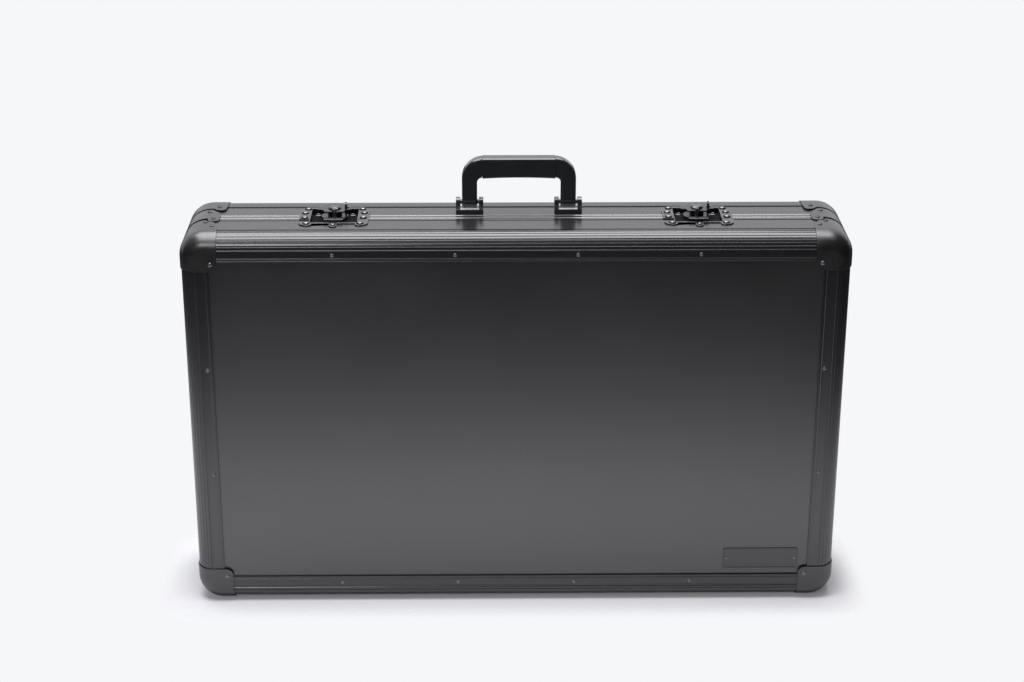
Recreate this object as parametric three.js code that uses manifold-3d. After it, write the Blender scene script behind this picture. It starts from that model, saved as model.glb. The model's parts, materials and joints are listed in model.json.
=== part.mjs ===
// A hard case for a controller, in millimetres, standing on its hinge edge with its lid to the front.
// X runs along the width, Y from the lid to the back of the base, Z up. The origin is on the floor,
// in the middle of the case's footprint, and z is zero where the corner caps stand.

import * as THREE from 'three';
import { mergeVertices } from 'three/addons/utils/BufferGeometryUtils.js';
import Module from 'manifold-3d';

const wasm = await Module();
wasm.setup();

// Running gap between pieces that touch, and how far a cutting tool runs past what it cuts.
const seatGap = 0.3;
const overrun = 6;

// The case as a whole: the outside of its edge extrusions, and how deep the lid is.
const caseWidth = 762;
const caseHeight = 464;
const caseDepth = 134;
const lidDepth = 55.5;

// Edge extrusions: a ribbed quarter round with a leg on the face and a leg on the side. Seen from the
// front, the case's corners have a larger radius than its edges.
const edgeRadius = 19.5;
const cornerRadius = 28;
const ribCount = 7;
const ribEndShare = 0.5;
const ribGroove = 0.5;
const ribGrooveWidth = 1;
const faceLeg = 32;
const lidSideLeg = edgeRadius;
const baseSideLeg = 31;
const legThickness = 1.6;
const faceBeadHeight = 0.4;
const faceBeadWidth = 1.2;
const faceBeadPitch = 3.2;

// Side walls. The base's band lies a little below the extrusions and has two beads, given from foot to
// foot behind the parting line. The lid's band is level with them, behind a deep groove.
const wallThickness = 10;
const bandStep = 0.8;
const bandBeadHeight = 0.6;
const bandBeads = [[6.2, 9.6], [15, 18]];
const bandBeadSlope = 1.3;
const bandGrooveDepth = 0.6;
const bandGrooveWidth = 1;
const lidBandStep = 0.1;
const ledgeGrooveDepth = 1.4;
const ledgeGrooveWidth = 2.6;
const partingGap = 0.4;
const lidChamferIn = 2.3;
const lidChamferAlong = 3.4;
const baseChamferIn = 2;
const baseChamferAlong = 0.7;
const tongueThickness = 2.5;
const tongueReach = 3;
const mitreGap = 0.15;

// Panels of laminated board behind the face legs.
const panelThickness = 6.5;
const panelOverlap = 14.6;

// Pressed corner caps and the braces on the base's side band.
const capSheet = 1;
const capTabRadius = 9;
const capGap = 1.5;
const capSetback = 4.5;
const lidCapReach = 42.5;
const lidCapSlant = 8;
const lidCapSlantStart = 30;
const baseCapReach = 46;
const baseCapSlant = 2;
const baseCapSlantStart = 30;
const baseCapDepth = 42;
const baseCapTongue = 4;
const baseCapTongueInner = 34;
const braceReach = 41;
const braceSlant = 11;
const braceSlantLength = 14;
const braceTongue = 6.5;
const braceTongueInner = 28;

// Straight steps in curved stretches.
const edgeSteps = 7;
const cornerSteps = 4;
const tabSteps = 5;
const roundSteps = 4;
const rodSides = 24;
const discSides = 40;
const footSides = 28;
const fineSteps = 6;

// Foam lining.
const lidFoamThickness = 20;
const floorFoamThickness = 15;
const sideFoamThickness = 25;

// Rubber feet on the back panel.
const footRadius = 10;
const footHeight = 8;
const footRound = 1.5;
const footInset = 70;
const footRecessRadius = 4;
const footRecessDepth = 3;

// Hinges: two short butt hinges let into the parting line of the bottom edge.
const hingeSpan = 418;
const hingeLength = 60;
const hingeSink = 1;
const hingeKnuckleRadius = 2.2;
const hingePinRadius = 1.1;
const hingeBoreGap = 0.08;
const hingeLeafThickness = 1.4;
const hingeLeafReach = 22;
const hingeMiddleShare = 0.4;

// Butterfly latches, two on the top edge, across the parting line.
const latchSpan = 418;
const latchPivotDepth = 76;
const dishWidth = 80;
const dishBackReach = 21;
const dishFrontReach = 34.8;
const dishLobeReach = 42.5;
const dishLobeWidth = 15.5;
const dishLobeRound = 5;
const dishTabRadius = 4.6;
const dishTabReach = 47;
const dishCornerRadius = 12;
const dishSheet = 1.2;
const dishFloorDepth = 5;
const dishWellWidth = 54;
const dishWellBack = 15.8;
const dishWellFront = 33;
const dishSeat = 0.1;
const rotorRadius = 15.3;
const rotorThickness = 1.5;
const rotorPostRadius = 2.5;
const rotorHeadRadius = 5;
const rotorHeadThickness = 0.9;
const hookTravel = 6;
const eccentricPinRadius = 1.8;
const hookWidth = 22;
const hookThickness = 1.5;
const hookRunningGap = 0.3;
const hookTailWall = 3;
const hookRampStart = 17;
const hookRampEnd = 21;
const hookNoseReach = 31.5;
const hookNoseLength = 2;
const hookNoseHeight = 1;
const keeperWidth = 20;
const keeperThickness = 1.6;
const keeperFootLength = 4.6;
const keeperFootThickness = 1.5;
const keeperReach = 29.5;
const wingAxisHeight = 7.5;
const wingThickness = 1.5;
const wingAxisDrop = 0.15;
const wingLength = 20;
const wingRootHalf = 12.2;
const wingShoulder = 11;
const wingWaistShare = 0.2;
const wingTipHalf = 5;
const wingTipRadius = 3.5;
const wingKnuckleRadius = 2;
const wingKnuckleLength = 2;
const wingNotchGap = 0.6;
const wingPinRadius = 1;
const wingBoreGap = 0.08;
const wingRootGap = 0.6;
const drumRadius = 8.3;
const bossRadius = 7;
const bossProud = 1.7;
const bossChamfer = 0.8;
const stapleOffset = 13;
const stapleThickness = 2.2;
const stapleHalf = 3.2;
const stapleHeight = 14.7;
const stapleHoleRadius = 2;
const stapleHoleDrop = 4.2;
const stapleSlotGap = 0.6;

// Carrying handle: a bow on two brackets, behind the parting line.
const handleShift = 3.5;
const handleDepth = 85;
const handleLegSpan = 114;
const handleLegWidth = 17.5;
const handleThickness = 14;
const handleTop = 66;
const handleBarHeight = 23.6;
const handleCornerRadius = 25;
const handleInnerRadius = 6;
const handleEdgeRound = 2.5;
const handlePinHeight = 12.3;
const handlePinRadius = 2.5;
const handleBoreGap = 0.08;
const handleEyeRadius = 6;
const handleTaperHeight = 4;
const gripLength = 84;
const gripSide = 1.5;
const gripTop = 0.9;
const gripBelow = 2.2;
const gripDrop = 0.8;
const gripArch = 1;
const gripRound = 3;
const bracketWidth = 31.7;
const bracketDepth = 19;
const bracketBaseHeight = 5.1;
const bracketEar = 5;
const bracketEarHalf = 6;
const bracketEarRound = 5;

// Worked out from the sizes above.
const quarterTurn = Math.PI / 2;
const sameVertex = 1e-4;
const capProud = seatGap + capSheet;
const panelFace = faceBeadHeight + legThickness + seatGap;
const panelBack = panelFace + panelThickness;
const wallStart = panelBack + seatGap;
const footEnd = caseDepth - panelFace + seatGap + footHeight;
const lowestY = -capProud;
const middleY = (lowestY + footEnd) / 2;
const baseDepth = caseDepth - lidDepth;
const baseEdge = lidDepth + partingGap / 2;
const tongueOuter = wallThickness - tongueThickness;
const dishTop = dishSeat + dishSheet;
const latchParting = lidDepth - latchPivotDepth;
const wingTop = wingAxisHeight - wingAxisDrop;
const wingBottom = wingTop - wingThickness;
const hookBottom = seatGap - dishFloorDepth;
const hookTop = hookBottom + hookThickness;
const rotorBottom = hookTop + hookRunningGap;
const rotorTop = rotorBottom + rotorThickness;
const hookRaised = dishTop + seatGap;
const hingeAxisInset = bandStep + hingeSink;
const gripLow = handleTop - handleBarHeight - gripDrop;
const gripHoleLow = gripLow + gripBelow;
const gripHoleTop = handleTop - gripTop;

const finishes = {
  extrusion: new THREE.MeshStandardMaterial({ color: '#26282b', roughness: 0.34, metalness: 0.85 }),
  panel: new THREE.MeshStandardMaterial({ color: '#101113', roughness: 0.22, metalness: 0 }),
  pressing: new THREE.MeshStandardMaterial({ color: '#1f2123', roughness: 0.3, metalness: 0.8 }),
  latch: new THREE.MeshStandardMaterial({ color: '#3a3c40', roughness: 0.28, metalness: 0.9 }),
  steel: new THREE.MeshStandardMaterial({ color: '#8b8d91', roughness: 0.35, metalness: 1 }),
  plastic: new THREE.MeshStandardMaterial({ color: '#0e0f10', roughness: 0.25, metalness: 0 }),
  grip: new THREE.MeshStandardMaterial({ color: '#121314', roughness: 0.35, metalness: 0 }),
  foam: new THREE.MeshStandardMaterial({ color: '#2a2b2d', roughness: 0.95, metalness: 0 }),
  rubber: new THREE.MeshStandardMaterial({ color: '#141414', roughness: 0.9, metalness: 0 }),
};

// Turns a three.js geometry into a solid for joining and cutting.
function solid(geometry) {
  const bare = geometry.clone();
  bare.deleteAttribute('normal');
  bare.deleteAttribute('uv');
  const merged = mergeVertices(bare, sameVertex);
  const mesh = new wasm.Mesh({
    numProp: 3,
    vertProperties: new Float32Array(merged.attributes.position.array),
    triVerts: new Uint32Array(merged.index.array),
  });
  return new wasm.Manifold(mesh);
}

// Turns a solid back into a three.js geometry.
function geometryOf(manifold) {
  const mesh = manifold.getMesh();
  const geometry = new THREE.BufferGeometry();
  geometry.setAttribute('position', new THREE.BufferAttribute(mesh.vertProperties, mesh.numProp));
  geometry.setIndex(new THREE.BufferAttribute(mesh.triVerts, 1));
  geometry.computeVertexNormals();
  return geometry;
}

// Joins any number of solids.
function join(first, ...rest) {
  return rest.reduce((whole, next) => whole.add(next), first);
}

// Cuts any number of solids out of the first.
function cut(first, ...rest) {
  return rest.reduce((whole, next) => whole.subtract(next), first);
}

// A closed outline through the points, given as [across, up].
function outline(points) {
  return new THREE.Shape(points.map(([a, b]) => new THREE.Vector2(a, b)));
}

// An outline pushed along an axis: 'x' takes [y, z] outlines, 'y' takes [x, z] and 'z' takes [x, y].
function prism(shape, axis, from, to, curveSegments = 3) {
  const geometry = new THREE.ExtrudeGeometry(shape, {
    depth: to - from,
    bevelEnabled: false,
    curveSegments,
  });
  const frames = {
    x: [new THREE.Vector3(0, 1, 0), new THREE.Vector3(0, 0, 1), new THREE.Vector3(1, 0, 0), from],
    y: [new THREE.Vector3(1, 0, 0), new THREE.Vector3(0, 0, 1), new THREE.Vector3(0, -1, 0), -to],
    z: [new THREE.Vector3(1, 0, 0), new THREE.Vector3(0, 1, 0), new THREE.Vector3(0, 0, 1), from],
  };
  const [across, up, along, start] = frames[axis];
  const turn = new THREE.Matrix4().makeBasis(across, up, along);
  turn.setPosition(along.clone().multiplyScalar(start));
  return solid(geometry.applyMatrix4(turn));
}

// A block between two corners.
function block([x0, y0, z0], [x1, y1, z1]) {
  const geometry = new THREE.BoxGeometry(x1 - x0, y1 - y0, z1 - z0);
  geometry.translate((x0 + x1) / 2, (y0 + y1) / 2, (z0 + z1) / 2);
  return solid(geometry);
}

// A round bar along an axis through a point.
function rod(axis, radius, from, to, [a, b] = [0, 0], sides = rodSides) {
  const shape = new THREE.Shape();
  shape.absarc(a, b, radius, 0, 2 * Math.PI, false);
  return prism(shape, axis, from, to, sides / 2);
}

// A rectangle with its corners rounded.
function roundedRectangle(left, right, low, high, radius) {
  const shape = new THREE.Shape();
  shape.moveTo(left + radius, low);
  shape.lineTo(right - radius, low);
  shape.absarc(right - radius, low + radius, radius, -quarterTurn, 0, false);
  shape.lineTo(right, high - radius);
  shape.absarc(right - radius, high - radius, radius, 0, quarterTurn, false);
  shape.lineTo(left + radius, high);
  shape.absarc(left + radius, high - radius, radius, quarterTurn, Math.PI, false);
  shape.lineTo(left, low + radius);
  shape.absarc(left + radius, low + radius, radius, Math.PI, Math.PI + quarterTurn, false);
  return shape;
}

// A named mesh of one piece.
function piece(name, manifold, finish) {
  const mesh = new THREE.Mesh(geometryOf(manifold), finish);
  mesh.name = name;
  return mesh;
}

// The ribbed quarter round of an edge extrusion, from its side leg to its face leg.
function ribbedRound() {
  const at = (radius, angle) => [
    edgeRadius - radius * Math.sin(angle),
    edgeRadius - radius * Math.cos(angle),
  ];
  const pitch = quarterTurn / (ribCount + ribEndShare);
  const half = ribGrooveWidth / 2 / edgeRadius;
  const points = [at(edgeRadius, 0)];
  for (let rib = 1; rib <= ribCount; rib++) {
    const middle = rib * pitch;
    points.push(at(edgeRadius, middle - pitch / 2));
    points.push(at(edgeRadius, middle - half));
    points.push(at(edgeRadius - ribGroove, middle));
    points.push(at(edgeRadius, middle + half));
  }
  points.push(at(edgeRadius, quarterTurn));
  return points;
}

// The hollow side of the quarter round, from the face leg to where the wall starts.
function innerRound() {
  const radius = edgeRadius - faceBeadHeight - legThickness;
  const end = Math.acos((edgeRadius - wallStart) / radius);
  const points = [];
  for (let step = 0; step <= roundSteps; step++) {
    const angle = (end * step) / roundSteps;
    points.push([
      edgeRadius - radius * Math.cos(angle),
      edgeRadius - radius * Math.sin(angle),
    ]);
  }
  return points;
}

// Two fine beads along the inner edge of a face leg.
function faceBeads() {
  const points = [];
  for (const end of [faceLeg - faceBeadPitch, faceLeg]) {
    const start = end - faceBeadWidth;
    points.push([faceBeadHeight, start - faceBeadHeight], [0, start]);
    points.push([0, end], [faceBeadHeight, end + (end < faceLeg ? faceBeadHeight : 0)]);
  }
  return points;
}

// The base's band from the parting line to its side leg: a steep chamfer and two beads, each with a
// fine groove behind it.
function baseBand(depth) {
  const edge = depth - partingGap / 2;
  const level = bandStep - bandBeadHeight;
  const bottom = bandStep + bandGrooveDepth;
  const points = [
    [edge, bandStep + baseChamferIn],
    [edge - baseChamferAlong, bandStep],
  ];
  for (const [near, far] of bandBeads) {
    const grooveEnd = depth - far - bandGrooveWidth;
    points.push([depth - near, bandStep], [depth - near - bandBeadSlope, level]);
    points.push([depth - far, level], [depth - far, bottom]);
    points.push([grooveEnd, bottom], [grooveEnd, bandStep]);
  }
  points.push([baseSideLeg, bandStep], [baseSideLeg, 0], ...ribbedRound());
  return points;
}

// The lid's band from the parting line to its quarter round: a long chamfer and a deep groove.
function lidBand(depth) {
  const edge = depth - partingGap / 2;
  const bottom = lidBandStep + ledgeGrooveDepth;
  return [
    [edge, lidBandStep + lidChamferIn],
    [edge - lidChamferAlong, lidBandStep],
    [lidSideLeg + ledgeGrooveWidth, lidBandStep],
    [lidSideLeg + ledgeGrooveWidth, bottom],
    [lidSideLeg, bottom],
    ...ribbedRound(),
  ];
}

// Section of an edge extrusion with its wall, as [depth from the face, depth from the side].
function frameSection(depth, isLid) {
  const edge = depth - partingGap / 2;
  const points = isLid ? lidBand(depth) : baseBand(depth);
  points.push([faceBeadHeight, edgeRadius], ...faceBeads());
  points.push([faceBeadHeight + legThickness, faceLeg], ...innerRound());
  points.push([wallStart, wallThickness]);
  if (isLid) {
    const rebate = edge - tongueReach - 2 * seatGap;
    const lip = tongueOuter - seatGap;
    points.push([rebate, wallThickness], [rebate, lip], [edge, lip]);
  } else {
    const tip = edge + tongueReach;
    points.push([tip, wallThickness], [tip, tongueOuter], [edge, tongueOuter]);
  }
  return outline(points);
}

// Outline that mitres a bar's two ends and rounds its outer corners, as [depth from the side, along].
function mitreOutline(length) {
  const radius = cornerRadius - bandStep;
  const reach = faceLeg + overrun;
  const end = [[-overrun, length / 2 - cornerRadius]];
  for (let step = 0; step <= roundSteps; step++) {
    const angle = (quarterTurn / 2) * (step / roundSteps);
    const gap = step === roundSteps ? mitreGap : 0;
    end.push([
      cornerRadius - radius * Math.cos(angle),
      length / 2 - cornerRadius + radius * Math.sin(angle) - gap,
    ]);
  }
  end.push([reach, length / 2 - reach - mitreGap]);
  const other = end.map(([a, b]) => [a, -b]).reverse();
  return outline([...end, ...other]);
}

// One frame bar in its own axes: X from the face inwards, Y from the side inwards, Z along the bar.
function frameBar(section, length) {
  const long = length / 2 + overrun;
  const bar = prism(section, 'z', -long, long);
  const trim = prism(mitreOutline(length), 'x', -overrun, caseDepth);
  const corner = edgeRadius + seatGap;
  const ends = [-1, 1].map((side) => {
    const inner = side * (length / 2 - cornerRadius - seatGap);
    const outer = side * long;
    return block(
      [-overrun, -overrun, Math.min(inner, outer)],
      [corner, corner, Math.max(inner, outer)],
    );
  });
  return cut(bar.intersect(trim), ...ends);
}

// A bar set on one side of the case: the lid's bars measure from the front, the base's from the back.
function placedBar(side, isLid) {
  const sides = {
    top: [new THREE.Vector3(0, 0, -1), [0, caseHeight], caseWidth],
    bottom: [new THREE.Vector3(0, 0, 1), [0, 0], caseWidth],
    left: [new THREE.Vector3(1, 0, 0), [-caseWidth / 2, caseHeight / 2], caseHeight],
    right: [new THREE.Vector3(-1, 0, 0), [caseWidth / 2, caseHeight / 2], caseHeight],
  };
  const [inwards, [x, z], length] = sides[side];
  const section = frameSection(isLid ? lidDepth : baseDepth, isLid);
  const depthwards = new THREE.Vector3(0, isLid ? 1 : -1, 0);
  const along = new THREE.Vector3().crossVectors(depthwards, inwards);
  const turn = new THREE.Matrix4().makeBasis(depthwards, inwards, along);
  turn.setPosition(x, isLid ? 0 : caseDepth, z);
  return solid(geometryOf(frameBar(section, length)).applyMatrix4(turn));
}

// Openings that the latch dishes leave in the two top bars, one tool for each latch.
function latchOpenings() {
  const half = dishWellWidth / 2 + dishSheet + seatGap;
  const front = latchPivotDepth - dishWellFront - dishSheet - seatGap;
  const back = latchPivotDepth + dishWellBack + dishSheet + seatGap;
  return [-1, 1].map((side) => {
    const x = (side * latchSpan) / 2;
    return block(
      [x - half, front, caseHeight - wallThickness - overrun],
      [x + half, back, caseHeight + overrun],
    );
  });
}

// Notches for the hinges in a bottom bar, one tool for each hinge. The one in the lid's bar stops at
// the hinge leaf, and the one in the base's bar takes in the tongue as well.
function hingeNotches(isLid) {
  const half = hingeLength / 2 + seatGap;
  const reach = hingeKnuckleRadius + 2 * seatGap;
  const front = lidDepth - reach - (isLid ? 0 : tongueReach);
  const back = lidDepth + (isLid ? overrun : reach);
  return [-1, 1].map((side) => {
    const x = (side * hingeSpan) / 2;
    return block([x - half, front, -overrun], [x + half, back, wallThickness + overrun]);
  });
}

// The four bars of one half of the case.
function frameBars(isLid) {
  const prefix = isLid ? 'lid_frame_' : 'base_frame_';
  return ['top', 'bottom', 'left', 'right'].map((side) => {
    let bar = placedBar(side, isLid);
    if (side === 'top') bar = cut(bar, ...latchOpenings());
    if (side === 'bottom') bar = cut(bar, ...hingeNotches(isLid));
    return piece(prefix + side, bar, finishes.extrusion);
  });
}

// A flat panel behind the face legs, from one depth to another.
function panel(name, from, to) {
  const inset = faceLeg - panelOverlap;
  const made = block(
    [-caseWidth / 2 + inset, from, inset],
    [caseWidth / 2 - inset, to, caseHeight - inset],
  );
  return piece(name, made, finishes.panel);
}

// A block with every edge and corner rounded, standing off the frame's outside by a given amount.
function roundedCase(offset) {
  const side = caseWidth / 2 - edgeRadius;
  const shape = roundedRectangle(
    -side, side, edgeRadius, caseHeight - edgeRadius, cornerRadius - edgeRadius,
  );
  const geometry = new THREE.ExtrudeGeometry(shape, {
    depth: caseDepth - 2 * edgeRadius,
    bevelThickness: edgeRadius + offset,
    bevelSize: edgeRadius + offset,
    bevelSegments: edgeSteps,
    curveSegments: cornerSteps,
  });
  geometry.rotateX(quarterTurn);
  geometry.translate(0, caseDepth - edgeRadius, 0);
  return solid(geometry);
}

// The sheet that all corner pressings are cut from.
const cornerSheet = cut(roundedCase(capProud), roundedCase(seatGap));

// Tab of a pressing on the face, as an outline in X and Z with its inner corner rounded.
function faceTab(sideX, sideZ, reach) {
  const inner = reach - capTabRadius;
  const points = [
    [-overrun, -overrun],
    [reach, -overrun],
  ];
  for (let step = 0; step <= tabSteps; step++) {
    const angle = (quarterTurn * step) / tabSteps;
    points.push([
      inner + capTabRadius * Math.cos(angle),
      inner + capTabRadius * Math.sin(angle),
    ]);
  }
  points.push([-overrun, reach]);
  return outline(points.map(([a, b]) => [
    sideX * (caseWidth / 2 - a),
    caseHeight / 2 + sideZ * (caseHeight / 2 - b),
  ]));
}

// Tabs of a pressing on the long side and the short side. Both have the same outline, given as
// [distance from the corner, depth].
function sideTabs(sideX, sideZ, points) {
  const alongX = outline(points.map(([a, y]) => [sideX * (caseWidth / 2 - a), y]));
  const alongZ = outline(points.map(([a, y]) => [y, caseHeight / 2 + sideZ * (caseHeight / 2 - a)]));
  const z = [
    caseHeight / 2 + sideZ * (caseHeight / 2 - edgeRadius),
    caseHeight / 2 + sideZ * (caseHeight / 2 + overrun),
  ];
  const x = [sideX * (caseWidth / 2 - edgeRadius), sideX * (caseWidth / 2 + overrun)];
  return join(
    prism(alongX, 'z', Math.min(...z), Math.max(...z)),
    prism(alongZ, 'x', Math.min(...x), Math.max(...x)),
  );
}

// The lid cap's side tab. At a top corner it runs up to the parting line, with a notch for the
// brace's tongue. At a bottom corner it stays clear of the parting line, so that the lid can swing.
function lidTab(isTop) {
  const narrow = lidCapReach - lidCapSlant;
  const start = [
    [-overrun, -overrun],
    [lidCapReach, -overrun],
    [lidCapReach, lidCapSlantStart],
  ];
  if (!isTop) {
    const far = lidDepth - capSetback;
    return [...start, [narrow, far], [-overrun, far]];
  }
  const far = lidDepth - capGap / 2;
  const notch = lidDepth - braceTongue - capGap;
  const beside = braceTongueInner - capGap;
  return [...start, [narrow, notch], [beside, notch], [beside, far], [-overrun, far]];
}

// The base cap's side tab, with a short tongue towards the brace.
function baseTab() {
  const near = caseDepth - baseCapDepth;
  const narrow = baseCapReach - baseCapSlant;
  return [
    [-overrun, caseDepth + overrun],
    [baseCapReach, caseDepth + overrun],
    [baseCapReach, caseDepth - baseCapSlantStart],
    [narrow, near - baseCapTongue],
    [baseCapTongueInner, near - baseCapTongue],
    [baseCapTongueInner - 2 * capGap, near],
    [-overrun, near],
  ];
}

// The brace's side tab. At a top corner its tongue reaches over the edge of the lid and keeps the
// lid from shifting sideways.
function braceTab(isTop) {
  const back = caseDepth - baseCapDepth - 2 * capGap;
  const near = isTop ? lidDepth + capGap / 2 : lidDepth + capSetback;
  const start = [
    [-overrun, back],
    [braceReach - braceSlant, back],
    [braceReach, back - braceSlantLength],
  ];
  if (!isTop) return [...start, [braceReach, near], [-overrun, near]];
  const tip = lidDepth - braceTongue;
  return [...start, [braceReach, tip], [braceTongueInner, tip], [braceTongueInner, near], [-overrun, near]];
}

// Pressings at one corner: the lid's cap, the base's cap and the brace on the base's band.
function cornerPressings(cornerName, sideX, sideZ) {
  const isTop = sideZ > 0;
  const lidTabs = join(
    prism(faceTab(sideX, sideZ, lidCapReach), 'y', -overrun, edgeRadius),
    sideTabs(sideX, sideZ, lidTab(isTop)),
  );
  const baseTabs = join(
    prism(faceTab(sideX, sideZ, baseCapReach), 'y', caseDepth - edgeRadius, caseDepth + overrun),
    sideTabs(sideX, sideZ, baseTab()),
  );
  const brace = sideTabs(sideX, sideZ, braceTab(isTop));
  return {
    lid: piece('lid_corner_cap_' + cornerName, cornerSheet.intersect(lidTabs), finishes.pressing),
    cap: piece('base_corner_cap_' + cornerName, cornerSheet.intersect(baseTabs), finishes.pressing),
    brace: piece('base_corner_brace_' + cornerName, cornerSheet.intersect(brace), finishes.pressing),
  };
}

const corners = [
  ['top_left', -1, 1],
  ['top_right', 1, 1],
  ['bottom_left', -1, -1],
  ['bottom_right', 1, -1],
].map(([name, sideX, sideZ]) => cornerPressings(name, sideX, sideZ));

// Foam pad on the inside of the lid.
function lidFoam() {
  const inset = wallThickness + seatGap;
  const made = block(
    [-caseWidth / 2 + inset, panelBack + seatGap, inset],
    [caseWidth / 2 - inset, panelBack + seatGap + lidFoamThickness, caseHeight - inset],
  );
  return piece('lid_foam', made, finishes.foam);
}

// Foam lining of the base: a floor pad and four side strips, clear of the hinge leaves.
function baseFoam() {
  const inset = wallThickness + seatGap;
  const left = -caseWidth / 2 + inset;
  const right = caseWidth / 2 - inset;
  const top = caseHeight - inset;
  const back = caseDepth - panelBack - seatGap;
  const floorFront = back - floorFoamThickness;
  const front = baseEdge + seatGap;
  const stripBack = floorFront - seatGap;
  const pad = block([left, floorFront, inset], [right, back, top]);
  const leafRoom = [-1, 1].map((side) => block(
    [(side * hingeSpan) / 2 - hingeLength / 2 - seatGap, lidDepth - overrun, 0],
    [
      (side * hingeSpan) / 2 + hingeLength / 2 + seatGap,
      lidDepth + hingeLeafReach + seatGap,
      wallThickness + 2 * seatGap + hingeLeafThickness,
    ],
  ));
  const strips = {
    top: block([left, front, top - sideFoamThickness], [right, stripBack, top]),
    bottom: cut(
      block([left, front, inset], [right, stripBack, inset + sideFoamThickness]),
      ...leafRoom,
    ),
    left: block(
      [left, front, inset + sideFoamThickness + seatGap],
      [left + sideFoamThickness, stripBack, top - sideFoamThickness - seatGap],
    ),
    right: block(
      [right - sideFoamThickness, front, inset + sideFoamThickness + seatGap],
      [right, stripBack, top - sideFoamThickness - seatGap],
    ),
  };
  return [
    piece('base_floor_foam', pad, finishes.foam),
    ...Object.entries(strips).map(
      ([side, made]) => piece('base_side_foam_' + side, made, finishes.foam),
    ),
  ];
}

// A rubber foot turned about its own axis, with a screw recess in its end.
function rubberFoot(name, x, z) {
  const profile = [
    [0, 0],
    [footRadius, 0],
    [footRadius - footRound / 2, footHeight - footRound],
    [footRadius - 2 * footRound, footHeight],
    [footRecessRadius, footHeight],
    [footRecessRadius - footRound / 2, footHeight - footRecessDepth],
    [0, footHeight - footRecessDepth],
  ];
  const geometry = new THREE.LatheGeometry(profile.map(([r, h]) => new THREE.Vector2(r, h)), footSides);
  const mesh = piece(name, solid(geometry), finishes.rubber);
  mesh.position.set(x, caseDepth - panelFace + seatGap, z);
  return mesh;
}

// Four feet near the corners of the back panel.
function rubberFeet() {
  const x = caseWidth / 2 - footInset;
  return [
    rubberFoot('rubber_foot_top_left', -x, caseHeight - footInset),
    rubberFoot('rubber_foot_top_right', x, caseHeight - footInset),
    rubberFoot('rubber_foot_bottom_left', -x, footInset),
    rubberFoot('rubber_foot_bottom_right', x, footInset),
  ];
}

// A hinge leaf in the hinge's own axes, with the pin on the X axis: the leaf rises through the parting
// line and turns along the inside of the wall. The lid's leaf has the middle knuckle.
function hingeLeaf(isLid) {
  const side = isLid ? -1 : 1;
  const half = hingeLength / 2;
  const middle = (hingeLength * hingeMiddleShare) / 2;
  const inside = wallThickness - hingeAxisInset + seatGap;
  const near = side * seatGap;
  const thick = side * (seatGap + hingeLeafThickness);
  const far = side * hingeLeafReach;
  const plate = prism(outline([
    [near, 0],
    [thick, 0],
    [thick, inside],
    [far, inside],
    [far, inside + hingeLeafThickness],
    [near, inside + hingeLeafThickness],
  ]), 'x', -half, half);
  const clear = hingeKnuckleRadius + seatGap;
  const spans = [[-half, -middle], [-middle, middle], [middle, half]];
  const isOwn = (index) => (index === 1) === isLid;
  const others = spans.filter((span, index) => !isOwn(index)).map(([from, to]) => block(
    [from - (from < -middle ? overrun : seatGap), -clear, -clear],
    [to + (to > middle ? overrun : seatGap), clear, clear],
  ));
  const knuckles = spans.filter((span, index) => isOwn(index)).map(([from, to]) => rod(
    'x', hingeKnuckleRadius, from + (from > -half ? seatGap / 2 : 0), to - (to < half ? seatGap / 2 : 0),
  ));
  const bore = rod('x', hingePinRadius + hingeBoreGap, -half - overrun, half + overrun);
  return cut(join(cut(plate, ...others), ...knuckles), bore);
}

// One hinge, its group at the pin.
function hinge(name, side) {
  const group = new THREE.Group();
  group.position.set((side * hingeSpan) / 2, lidDepth, hingeAxisInset);
  const half = hingeLength / 2;
  group.add(piece('lid_hinge_leaf_' + name, hingeLeaf(true), finishes.steel));
  group.add(piece('base_hinge_leaf_' + name, hingeLeaf(false), finishes.steel));
  group.add(piece('hinge_pin_' + name, rod('x', hingePinRadius, -half, half), finishes.steel));
  return group;
}

// Rim outline of the base's dish, from the parting line to its rounded back.
function dishOutline() {
  const from = latchParting + partingGap / 2;
  const half = dishWidth / 2;
  const round = dishCornerRadius;
  const shape = new THREE.Shape();
  shape.moveTo(-half, from);
  shape.lineTo(half, from);
  shape.absarc(half - round, dishBackReach - round, round, 0, quarterTurn, false);
  shape.absarc(-half + round, dishBackReach - round, round, quarterTurn, Math.PI, false);
  return shape;
}

// Rim outline of the lid's dish: a lobe for a rivet at each side and a round tab in the middle.
function catchDishOutline() {
  const from = latchParting - partingGap / 2;
  const half = dishWidth / 2;
  const small = dishLobeRound;
  const round = dishLobeWidth - small;
  const lobe = half - dishLobeWidth;
  const tabMiddle = -dishTabReach + dishTabRadius;
  const shape = new THREE.Shape();
  shape.moveTo(-half, from);
  shape.absarc(-half + round, -dishLobeReach + round, round, Math.PI, 3 * quarterTurn, false);
  shape.absarc(-lobe - small, -dishLobeReach + small, small, -quarterTurn, 0, false);
  shape.lineTo(-lobe, -dishFrontReach);
  shape.lineTo(-dishTabRadius, -dishFrontReach);
  shape.absarc(0, tabMiddle, dishTabRadius, Math.PI, 2 * Math.PI, false);
  shape.lineTo(dishTabRadius, -dishFrontReach);
  shape.lineTo(lobe, -dishFrontReach);
  shape.absarc(lobe + small, -dishLobeReach + small, small, Math.PI, 3 * quarterTurn, false);
  shape.absarc(half - round, -dishLobeReach + round, round, -quarterTurn, 0, false);
  shape.lineTo(half, from);
  return shape;
}

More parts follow.
